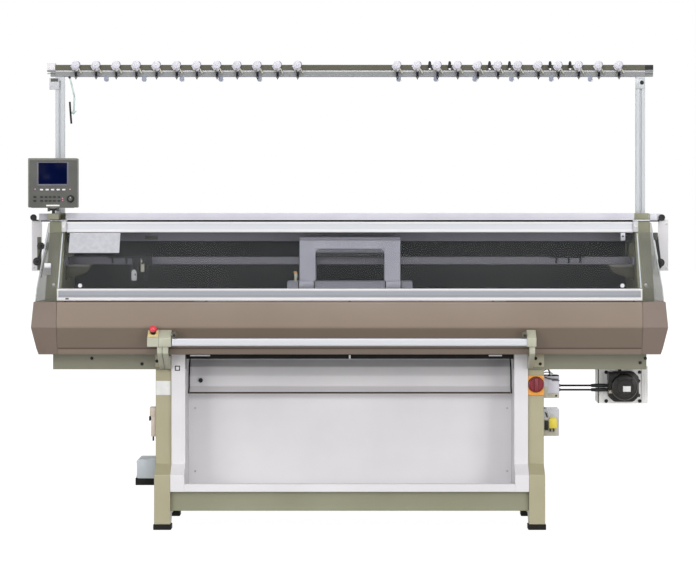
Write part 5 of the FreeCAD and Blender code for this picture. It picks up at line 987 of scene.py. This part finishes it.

# %% [markdown]
# ## Under the deck
# The takedown cover is a bent sheet that hinges at its top edge, between rubber lips at its ends. Above it a
# black strip fills the slit as painted shade, where the space behind is dark. A plate covers the top of each
# leg, where it holds the beam. The brackets of the start bar are castings on bent arms, and dark lugs hold
# the bar in them.

# %% Takedown cover, lips, plates, brackets and lugs
cover_profile = [(40, 721), (-8, 689), (-25, 650), (-27, 604), (-60, 573)]
bench = Bench("takedown_sheet", "takedown_cover")
bench.plate(folded(cover_profile, -3, 5), "x", -709, 1418, white_powder, 0)
bench.turned((-725, 45, 724), "x", [(0, 0), (0, 4), (1450, 4), (1450, 0)], ground_steel, 14)
bench.block((-709, 37, 719), (709, 46, 723), white_powder, 0.6)
bench.plate([(-60.5, 573), (-57, 573), (-50, 580), (-53, 580)], "x", -708, 1416, seam_enamel, 0)
bench.done(replaces=["takedown_cover"], angle=20)
bench = Bench("takedown_lips")
# A black strip in the slit above the cover: painted shade, where the space behind it is dark.
bench.block((-712, -235, 735), (712, -229, 757.5), black_rubber, 0.8)
lip = [(42, 723), (-14, 690), (-31, 650), (-33, 606), (-66, 574), (-58, 574), (-26, 603), (-24, 650),
       (-7, 688), (46, 722)]
for side in (-1, 1):
    bench.plate(lip, "x", side * 712 - 3, 6, black_rubber, 0.4)
for low, high in ((-695, -608), (605, 662)):
    bench.block((low, -237, 746.5), (high, -234, 752.6), white_plastic, 0.8)
bench.block((-4, -237, 736), (4, -233, 752), white_plastic, 0.8)
bench.done()
bench = Bench("leg_top_plates")
for side in (-1, 1):
    bench.plate(rounded(rectangle((side * 845, side * 776), (701, 757)), 2), "y", -254, 4.5, olive_enamel,
                0.8)
bench.done()
bench = Bench("bar_bracket_castings")
head = [(-450, 797), (-450, 834), (-392, 868), (-392, 797)]
arm = [(-440, 798), (-394, 798), (-394, 782), (-382, 752), (-250, 752), (-250, 694), (-280, 694), (-440, 767)]
for low, high in ((760, 800), (-816.8, -764)):
    bench.plate(head, "x", low, high - low, bracket_enamel, 2)
for low, high in ((771, 795), (-801, -777), (-824, -803)):
    bench.plate(arm, "x", low, high - low, bracket_enamel, 1.2)
bench.done(replaces=["bar_brackets"])
bench = Bench("start_bar_lugs", "start_bar")
for side in (-1, 1):
    lug = [(side * x, z) for x, z in ((738, 835), (759, 835), (759, 861), (744, 861), (738, 854))]
    bench.plate(lug, "y", -441.5, 22, strip_enamel, 1)
    bench.turned((side * 751, -441, 845), "y", [(0, 5.5), (-0.9, 5.5), (-0.9, 0)], black_oxide, 18)
bench.block((-752, -441.9, 801.5), (752, -438, 812), grey_powder, 1.2)
bench.done()

# %% [markdown]
# ## The control panel
# The operator's panel is a flat moulded box with a colour screen in a lavender bezel, a row of white membrane
# keys, two rows of black keys, four lamps and a dial. The CAD's box stays, and the parts that stand on or in
# its face are made in their own finishes. The screen is dark and the label field is bare.

# %% Control panel face
bench = Bench("panel_screen", "control_panel")
bench.block((-1363, -168.6, 1496), (-1237, -167.6, 1590), screen_blue, 0.3)
bench.done()
bench = Bench("panel_bezel", "control_panel")
for low, high in (((-1370, 1489), (-1363, 1593)), ((-1237, 1489), (-1230, 1593)),
                  ((-1364, 1489), (-1236, 1496)), ((-1364, 1590), (-1236, 1593))):
    bench.block((low[0], -171.6, low[1]), (high[0], -169.0, high[1]), bezel_grey, 0.7)
bench.done()
bench = Bench("panel_bands", "control_panel")
bench.block((-1407.6, -171.8, 1396), (-1401.5, -169.8, 1608), edge_plastic, 0.6)
bench.block((-1402, -171.8, 1600), (-1193, -169.8, 1609), edge_plastic, 0.6)
bench.block((-1394, -171.4, 1392), (-1206, -169.8, 1394), edge_plastic, 0.3)
bench.done()
bench = Bench("panel_white_keys", "control_panel")
panel_middle, key_pitch = -1300, 24.3
for k in range(-2, 3):
    x = panel_middle + key_pitch * k
    bench.plate(rounded(rectangle((x - 7.3, x + 7.3), (1468.6, 1475.6)), 3.4), "y", -174.6, 3.4,
                white_plastic, 0.8)
bench.done()
bench = Bench("panel_lamps", "control_panel")
for x, z in ((-1377, 1474), (-1224, 1474), (-1256.5, 1433), (-1256.5, 1424)):
    bench.turned((x, -170, z), "y", [(0, 3.4), (-2.6, 3.4), (-3.8, 2.4), (-4.2, 0)], pink_lamp, 14)
bench.done()
bench = Bench("panel_black_keys", "control_panel")
for z in (1440.3, 1423.3):
    for x in (-1348.8, -1328.7, -1311.2, -1292.4, -1272.7):
        bench.plate(rounded(rectangle((x - 5.8, x + 5.8), (z - 3.1, z + 3.1)), 1.2), "y", -174.4, 3.2,
                    black_plastic, 0.7)
    bench.plate(rounded(rectangle((-1384, -1372), (z - 3.4, z + 3.4)), 1.2), "y", -174.4, 3.2,
                black_plastic, 0.7)
bench.done()
bench = Bench("panel_bare_field", "control_panel")
bench.plate(rectangle((-1328.6, -1270.4), (1399.6, 1406)), "y", -170.6, 1, bare_label, 0.2)
bench.done()
dial_x, dial_z = -1222, 1432
bench = Bench("panel_dial_knob", "panel_dial")
knob = [(0, 15.7), (-14, 15.7), (-20, 14.6), (-22.4, 13), (-22.4, 10.2), (-21, 9.4), (-21, 0)]
bench.turned((dial_x, -161.5, dial_z), "y", knob, black_plastic, 40)
knob_cap = [(0, 9.2), (-1.2, 9.2), (-1.9, 8.2), (-1.9, 0)]
bench.turned((dial_x, -182.2, dial_z), "y", knob_cap, panel_plastic, 28)
bench.block((dial_x - 1, -184.2, dial_z + 2), (dial_x + 1, -183.6, dial_z + 9), white_plastic, 0.2)
for turn in range(12):
    spot = math.tau * turn / 12
    bench.turned((dial_x + 15.0 * math.cos(spot), -163, dial_z + 15.0 * math.sin(spot)), "y",
                 [(0, 0.7), (-15, 0.7), (-16, 0)], black_rubber, 6)
bench.done(replaces=["panel_dial"])

# %% [markdown]
# ## The side tensioners
# Each side has a white plate with a black head and a pale block at its top and a feed disc near its foot. On
# the right a black lever with a dark grip rises from the disc, beside two coil springs. On the left there is
# a second disc, with a short lever between the two. The CAD holds the place with a plain bar.

# %% Side tension arms
def guide_disc(bench, x, z, radius):
    """A black feed disc with a grey ring and a stub on its front."""
    disc = [(0, radius - 1), (-3, radius), (-6, radius - 1), (-6, 8), (-11, 7), (-12.5, 5), (-12.5, 0)]
    bench.turned((x, -28.5, z), "y", disc, black_plastic, 30)
    ring = [(0, radius * 0.62), (-1.2, radius * 0.62), (-1.2, radius * 0.5), (0, radius * 0.5)]
    bench.turned((x, -34, z), "y", ring, panel_plastic, 26)


bench = Bench("side_tension_levers")
guide_disc(bench, -1385, 1156, 18)
guide_disc(bench, -1368, 1224, 17)
guide_disc(bench, 1374, 1151, 18)
head = [(0, 12), (-4, 14.4), (-9, 14.4), (-12, 12), (-12, 9.4), (-10, 8.6), (-10, 0)]
for x, tail in ((-1400, ((-1396, 1335.6), (-1374, 1334), (-1389, 1344), (-1406, 1340))),
                (1379, ((1376, 1337.6), (1356, 1334.6), (1369, 1347), (1386, 1342)))):
    bench.turned((x, -28.5, 1350.4), "y", head, black_plastic, 30)
    bench.plate(tail, "y", -40, 10, black_plastic, 0.8)
lever = [(1342, 1284), (1360, 1284), (1378, 1131), (1370, 1123)]
bench.plate(lever, "y", -40, 4, black_plastic, 0.8)
bench.block((1340, -41.5, 1251), (1361, -29, 1283), panel_plastic, 1)
bench.block((-1346, -36, 1205), (-1334, -28, 1240), blue_grey_plastic, 0.8)
finger = [(-1350, 1216), (-1352, 1226), (-1330, 1244), (-1328, 1238)]
bench.plate(finger, "y", -34, 4, black_plastic, 0.8)
short_lever = [(-1383, 1168), (-1377, 1166), (-1362, 1210), (-1368, 1212)]
bench.plate(short_lever, "y", -33, 4, black_plastic, 0.8)
bench.done(replaces=["side_tension_arms"])
bench = Bench("side_plate_trims")
bench.block((-1384, -29.5, 1118), (-1367, -28, 1264), strip_enamel, 0.5)
bench.block((-1372, -40, 1337), (-1326, -28.5, 1367.6), lavender_powder, 1.6)
bench.block((1326, -40, 1337), (1358, -28.5, 1367.6), lavender_powder, 1.6)
bench.block((1318, -41.5, 1332), (1366, -34, 1337.5), black_plastic, 0.8)
bench.block((-1366, -41.5, 1332), (-1318, -34, 1337.5), black_plastic, 0.8)
for x, z in ((-1400, 1128), (-1400, 1322), (1400, 1128), (1400, 1322)):
    bench.turned((x, -28, z), "y", [(0, 4.2), (-2.2, 4.2), (-2.8, 3.2), (-2.8, 0)], zinc_steel, 12)
bench.wire([(-1328, -38, 1236), (-1348, -38, 1176), (-1362, -38, 1106), (-1366, -34, 1082)], 1.6,
           black_rubber, 8)
bench.wire([(1330, -38, 1132), (1344, -38, 1104), (1362, -38, 1096), (1366, -34, 1110)], 1.6, black_rubber, 8)
bench.done()
coils("side_springs", [(1330, -36, 1110), (1342, -36, 1118)], 5.4, 66, 13, 1.0, "base", rail_grey)

# %% [markdown]
# ## The window
# The front window is a sheet of clear acrylic between two anodised rails, with turned knobs to lift it. The
# CAD sheet stays and gets knobs, the faces of both rails, polished edges, brackets, a seal, and a bare
# sticker. The side sheets get their edges and small blocks. The pale colour of the edges is a painted
# highlight.

# %% Window parts
bench = Bench("window_knobs", "window")
lift_knob = [(6, 6), (-2, 6), (-2, 9), (-9, 9.4), (-12, 8), (-12, 0)]
for x in (-1163, 1177):
    bench.turned((x, -334, 1056), "y", lift_knob, white_plastic, 28)
bench.done()
bench = Bench("lower_rail_face", "window")
bench.block((-1256, -345.6, 1006), (1256, -343, 1034), satin_anodised, 0.3)
for height in (1012, 1019.5, 1027):
    bench.block((-1256, -346.0, height), (1256, -345.2, height + 1.6), rail_grey, 0.2)
bench.block((-1263, -346, 1034.5), (1263, -343, 1042.8), white_powder, 1.2)
bench.block((-1263, -346, 991.2), (1263, -343, 1005.5), white_powder, 1.2)
for side in (-1, 1):
    bench.block((side * 1259.5 - 3, -346, 1004), (side * 1259.5 + 3, -343, 1036), white_powder, 0.6)
bench.block((-1226, -346.6, 996), (-1212, -345.4, 1003), panel_plastic, 0.4)
bench.done()
bench = Bench("top_rail_face", "window")
bench.block((-1240, -153.6, 1322), (1240, -151.6, 1331), white_powder, 0.8)
bench.block((-1240, -153.6, 1286), (1240, -151.6, 1298), white_powder, 0.8)
rail_screw = [(0, 8), (-1.6, 8), (-2.4, 7), (-2.4, 4), (-1, 3.4), (-1, 0)]
for side in (-1, 1):
    bench.block((side * 1251 - 11, -166, 1287), (side * 1251 + 11, -155.5, 1334), grey_powder, 2)
    bench.turned((side * 1252, -166, 1312), "y", rail_screw, zinc_steel, 20)
bench.done()


def on_glass(height):
    """Y of the front face of the leaning sheet at a height."""
    foot_y, foot_z = -341, 1043
    head_y, head_z = -152, 1285
    return foot_y + (height - foot_z) * (head_y - foot_y) / (head_z - foot_z)


bench = Bench("glass_edges", "window")
for side in (-1, 1):
    edge = [(on_glass(1046) - 1.5, 1046), (on_glass(1282) - 1.5, 1282),
            (on_glass(1282) + 4.5, 1282), (on_glass(1046) + 4.5, 1046)]
    bench.plate(edge, "x", side * 1258 - 2.5, 5, acrylic_edge_painted_highlight, 0)
bench.done()
bench = Bench("side_glass_edges")
for side in (-1, 1):
    front_edge = [(side * 1356, -341, 994), (side * 1351, -341, 1042), (side * 1323.5, -152, 1284)]
    bench.wire(front_edge, 1.7, acrylic_edge_painted_highlight, 8, 1)
    bench.block((side * 1213 - 2, -100, 1062), (side * 1213 + 2, -97, 1250), panel_plastic, 0.4)
bench.block((-1326, -268, 1101), (-1298, -258, 1152), white_plastic, 1.5)
bench.done()
bench = Bench("bare_glass_sticker", "window")
sticker = [(on_glass(1196) - 1.4, 1196), (on_glass(1283) - 1.4, 1283), (on_glass(1283) - 0.6, 1283),
           (on_glass(1196) - 0.6, 1196)]
bench.plate(sticker, "x", -1226, 221, backing_label, 0)
bench.done()
bench = Bench("window_brackets", "window")
for side in (-1, 1):
    x = side * 1196
    bench.block((x - 10, -158, 1250), (x + 10, -146, 1283), anodised, 1.2)
    bench.turned((x, -158, 1268), "y", [(0, 4), (-2.4, 4), (-3, 3), (-3, 0)], black_oxide, 12)
for x in (-1140, -380, 380, 1140):
    bench.turned((x, -125, 1345), "z", [(-1, 5), (0.6, 5), (0.9, 4), (0.9, 0)], zinc_steel, 12)
bench.done()
bench = Bench("black_seal", "window")
bench.block((-1239, -152.8, 1331.5), (1239, -150, 1339.5), black_rubber, 0.8)
bench.block((-1239, -152.6, 1339.8), (1239, -151, 1344.8), lavender_powder, 0.5)
bench.done()
bench = Bench("side_glass_blocks")
for side in (-1, 1):
    bench.turned((side * 1280, -318, 1058), "y", [(0, 7), (-3, 7), (-4.5, 5.5), (-4.5, 0)], white_plastic, 20)
    bench.block((side * 1226 - 16, -120, 1240), (side * 1226 + 16, -110, 1282), black_plastic, 1.2)
bench.done()

# %% [markdown]
# ## Behind the window
# Through the sheet one sees the dark back, the yarn rails with a few black feeder levers, and one feeder
# group at the left: a dark block with a cream tongue and a grey foot. Most of it sits in shade, so plain
# solids in the right places and finishes are enough.

# %% Feeder levers and the rail ends
bench = Bench("feeder_levers")
for x, reach in ((-980, 36), (-1040, 24), (-905, 20), (905, 30), (960, 44), (1010, 18)):
    bench.block((x - reach, -146, 1172), (x + reach, -139, 1180), black_plastic, 1)
    bench.block((x - 5, -148, 1150), (x + 5, -139, 1176), black_plastic, 1)
bench.done()
bench = Bench("feeder_group")
bench.block((-954, -139, 1138), (-868, -128, 1180), black_plastic, 2)
bench.block((-968, -135, 1076), (-954, -126, 1142), black_plastic, 1.5)
bench.block((-906, -136, 1074), (-886, -124, 1142), black_plastic, 1.5)
grey_foot = rounded([(-958, 1116), (-944, 1124), (-934, 1106), (-936, 1074), (-958, 1074)], 5)
bench.plate(grey_foot, "y", -142, 9, grey_powder, 1.5)
bench.block((-917, -144, 1112), (-902, -138, 1176), cream_plastic, 0.8)
for z in (1168, 1150):
    bench.turned((-909.5, -144, z), "y", [(0, 5.5), (-1.4, 5.5), (-1.4, 0)], black_plastic, 16)
for x in (-930, -888):
    bench.turned((x, -139, 1131), "y", [(0, 5), (-2, 5), (-3, 4), (-3, 0)], strip_enamel, 16)
bench.block((-944, -143, 1096), (-937, -142, 1104), black_plastic, 0.4)
bench.done()
bench = Bench("rail_end_blocks")
for side in (-1, 1):
    bench.block((side * 1190 - 46, -143, 1133), (side * 1190 + 46, -128, 1144), edge_plastic, 1)
    web = [(side * x, z) for x, z in ((1248, 1140), (1130, 1146), (1158, 1108), (1248, 1076))]
    bench.plate(web, "y", -126, 4, strip_enamel, 1)
bench.block((-920, 132, 1252), (-862, 140.5, 1268), edge_plastic, 1)
bench.done()

# %% [markdown]
# ## The carriage arch
# The feet of the arch stand in front of the hood with a dark joint at each side, and the corners of its
# opening are round. A darker grey strip along its top edge and a grey strip over a black band under the top
# of its opening are painted shade. A cream catch stands beside the left foot. The CAD holds the arch as a
# plain bridge, so the feet, the corner pieces and the strips of painted shade are laid on it here.

# %% Feet, corners and lips of the arch
bench = Bench("arch_feet", "carriage")
corner_x, corner_z, corner_radius = 131, 1192, 20
for side in (-1, 1):
    low, high = sorted((side * 158, side * 222))
    bench.block((low, -170, 1034), (high, -110.5, 1071), cast_aluminium, 2)
    for x in (low - 2, high + 2):
        bench.block((x - 2, -168, 1034), (x + 2, -111, 1070.6), black_plastic, 0.3)
    turns = [t * math.pi / 12 for t in range(7)]
    arc = [(side * (corner_x + corner_radius * math.sin(t)), corner_z + corner_radius * math.cos(t))
           for t in turns]
    bench.plate(arc + [(side * 151.5, 1212.5)], "y", -109.8, 12, cast_aluminium, 0)
# A darker grey strip along the top edge of the arch: painted shade.
bench.block((-222, -110.6, 1249), (222, -109.5, 1263.5), rail_grey, 0.3)
# A grey strip over a black band under the top of the opening: painted shade.
bench.block((-151, -104, 1196), (151, -100, 1212), carrier_rail_grey, 0.3)
bench.block((-151, -103, 1177), (151, -99, 1196.5), black_plastic, 0.3)
bench.block((-244, -119.5, 1086), (-231, -112, 1104), cream_plastic, 1.5)
bench.block((-248, -119, 1106), (-234, -112, 1114), brass, 1.5)
bench.block((-244, -117, 1066), (-234, -111, 1110), cream_plastic, 1)
bench.done()

# %% [markdown]
# ## The ends of the yarn stand
# The top bar ends in plugs, a pale one on the left and a black one on the right. A bracket box and a screw
# plate hold it on the posts, a mint-coloured stop lever with a black handle hangs on the left, and small
# guides hang under the bar between the tension units. Six dark handles stand on the bar in steel collets.

# %% Top bar ends, stop lever and guides
bench = Bench("bar_ends")
bench.block((-1355, 98.5, 2010), (-1318.5, 101, 2039.5), white_powder, 1)
bench.block((1318.5, 98.5, 2011), (1354.5, 101, 2033), black_plastic, 1)
bench.block((1317, 101, 1981), (1354, 139, 2010), anodised_bar, 1.2)
bench.block((-1340, 101, 1981), (-1317, 139, 2010), anodised_bar, 1.2)
for side in (-1, 1):
    bench.block((side * 1336 - 18, 99.6, 1992), (side * 1336 + 18, 101.5, 1995), panel_plastic, 0.3)
bench.block((-1317, 98.8, 1981), (1317, 100.5, 1985), rail_grey, 0.3)
bench.block((-1317, 98.8, 2003), (1317, 100.5, 2007.5), white_powder, 0.4)
bench.done()
bench = Bench("post_bracket_box")
bench.block((-1344, 94, 1922), (-1300, 100.5, 1974), grey_powder, 2)
bench.block((-1338, 92.5, 1958), (-1304, 95, 1972), panel_plastic, 1.2)
bench.block((1274, 97, 1926), (1316, 100.5, 1972), anodised_post, 1.2)
bench.turned((1304, 97, 1954), "y", [(0, 9), (-2, 9), (-3, 8), (-3, 0)], black_oxide, 24)
bench.done()
bench = Bench("stop_lever")
bench.plate([(-1258, 1980), (-1250, 1980), (-1228, 1890), (-1236, 1888)], "y", 97, 3, mint_plastic, 0.8)
bench.plate([(-1236, 1892), (-1228, 1892), (-1232, 1816), (-1241, 1816)], "y", 97, 3, mint_plastic, 0.8)
bench.plate([(-1257, 1822), (-1220, 1828), (-1236, 1810)], "y", 98, 3, mint_plastic, 0.8)
bench.turned((-1254, 97, 1977), "y", [(0, 6), (-2, 6), (-2.6, 5), (-2.6, 0)], black_plastic, 18)
bench.wire([(-1253, 96, 1868), (-1250, 96, 1820), (-1246, 96, 1770)], 4.4, black_rubber, 12)
bench.done()
pulley = [(0, 4), (0, 10), (-2, 10), (-3.5, 7.5), (-5, 10), (-7, 10), (-8, 6), (-8, 0)]
guides = [(x, 104, 1968) for x in (-1091, -922, -753, -579, -406, 216, 382, 556, 720, 898, 1072)]
copies("bar_guides", [
    template("wheels", ("turned", (0, 0, 0), "y", pulley, blue_grey_plastic, 20),
             ("block", (-9, -6, 4), (11, 4, 12.5), blue_grey_plastic, 1)),
    template("hooks", ("wire", [(6, -3, 6), (12, -3, -4), (6, -3, -9), (2, -3, -5)], 1.2, zinc_steel, 6, 4)),
], guides, "base")
stem = [(0, 3), (0, 5), (6, 6), (24, 7), (32, 5.5), (35, 3), (36, 0)]
handles = [(x, 78, 2013) for x in (355, 444, 622, 711, 892, 981)]
copies("bar_handles", [
    template("stems", ("turned", (0, 0, 0), "z", stem, black_plastic, 14)),
    template("collets", ("turned", (0, 0, 0), "z", [(-3, 3), (-3, 7), (3, 7), (3, 3)], zinc_steel, 14)),
], handles, "base")

# %% [markdown]
# ## The motor's leads
# Two short leads run from the terminal box to the motor, straight and held at both ends.

# %% Motor leads
def lead(name, start, end, height, radius, material):
    """A round lead along X at Y -40, from start to end in millimetres."""
    curve = bpy.data.curves.new(name, "CURVE")
    curve.dimensions = "3D"
    curve.bevel_depth = radius * mm
    curve.bevel_resolution = 4
    curve.use_fill_caps = True
    spline = curve.splines.new("NURBS")
    spline.points.add(4)
    for k, place in enumerate(spline.points):
        place.co = (*(Vector((start + (end - start) * k / 4, -40, height)) * mm), 1)
    spline.order_u = 3
    spline.use_endpoint_u = True
    curve.materials.append(material)
    piece = bpy.data.objects.new(name, curve)
    bpy.context.scene.collection.objects.link(piece)
    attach(piece, "base")
    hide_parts("motor_cables")
    print(name, "is a lead of", end - start, "mm")


low_lead, high_lead = lead_heights
lead("upper_motor_lead", lead_start, lead_end, high_lead, 4.2, black_rubber)
lead("lower_motor_lead", lead_start, lead_end, low_lead, 4.2, black_rubber)

# %% [markdown]
# ## The back
# No picture shows the back, so it gets only what such a machine needs there: two doors on the electrical
# cabinet with hinges, turn latches and rows of louvres to cool it, and screws round the back panel. The
# louvres are one small wedge that the copying tree puts on every place.

# %% Cabinet doors, louvres and back screws
bench = Bench("cabinet_doors")
for side in (-1, 1):
    low, high = sorted((side * 6, side * 688))
    bench.plate(rounded(rectangle((low, high), (176, 588)), 6), "y", 293, 2.5, grey_powder, 0.8)
    for height in (232, 500):
        bench.turned((side * 691, 295, height), "z", [(0, 0), (0, 4), (50, 4), (50, 0)], zinc_steel, 12)
    bench.turned((side * 42, 295, 382), "y", [(0, 15), (2.5, 15), (3.5, 14), (3.5, 7), (2.5, 6), (2.5, 0)],
                 black_plastic, 26)
    bench.block((side * 42 - 2.5, 296, 370), (side * 42 + 2.5, 304, 394), black_plastic, 1)
bench.done()
louvre = [(0, 0), (7, -9), (7, -11), (5.5, -11), (0, -4)]
copies("cabinet_louvres", [template("louvre", ("plate", louvre, "x", -70, 140, grey_powder, 0.4))],
       [(x, 295, z + 16 * k) for x in (-530, -350, 350, 530) for z in (225, 485) for k in range(5)], "base")
screws("back_panel_screws", [(x, 299, z) for x in range(-1320, 1321, 240) for z in (1002, 1326)], 5,
       finish=zinc_steel, turn=(math.radians(-90), 0, 0))

# %% Sizes and finish
low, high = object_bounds()
print("visual box from", tuple(low), "to", tuple(high))
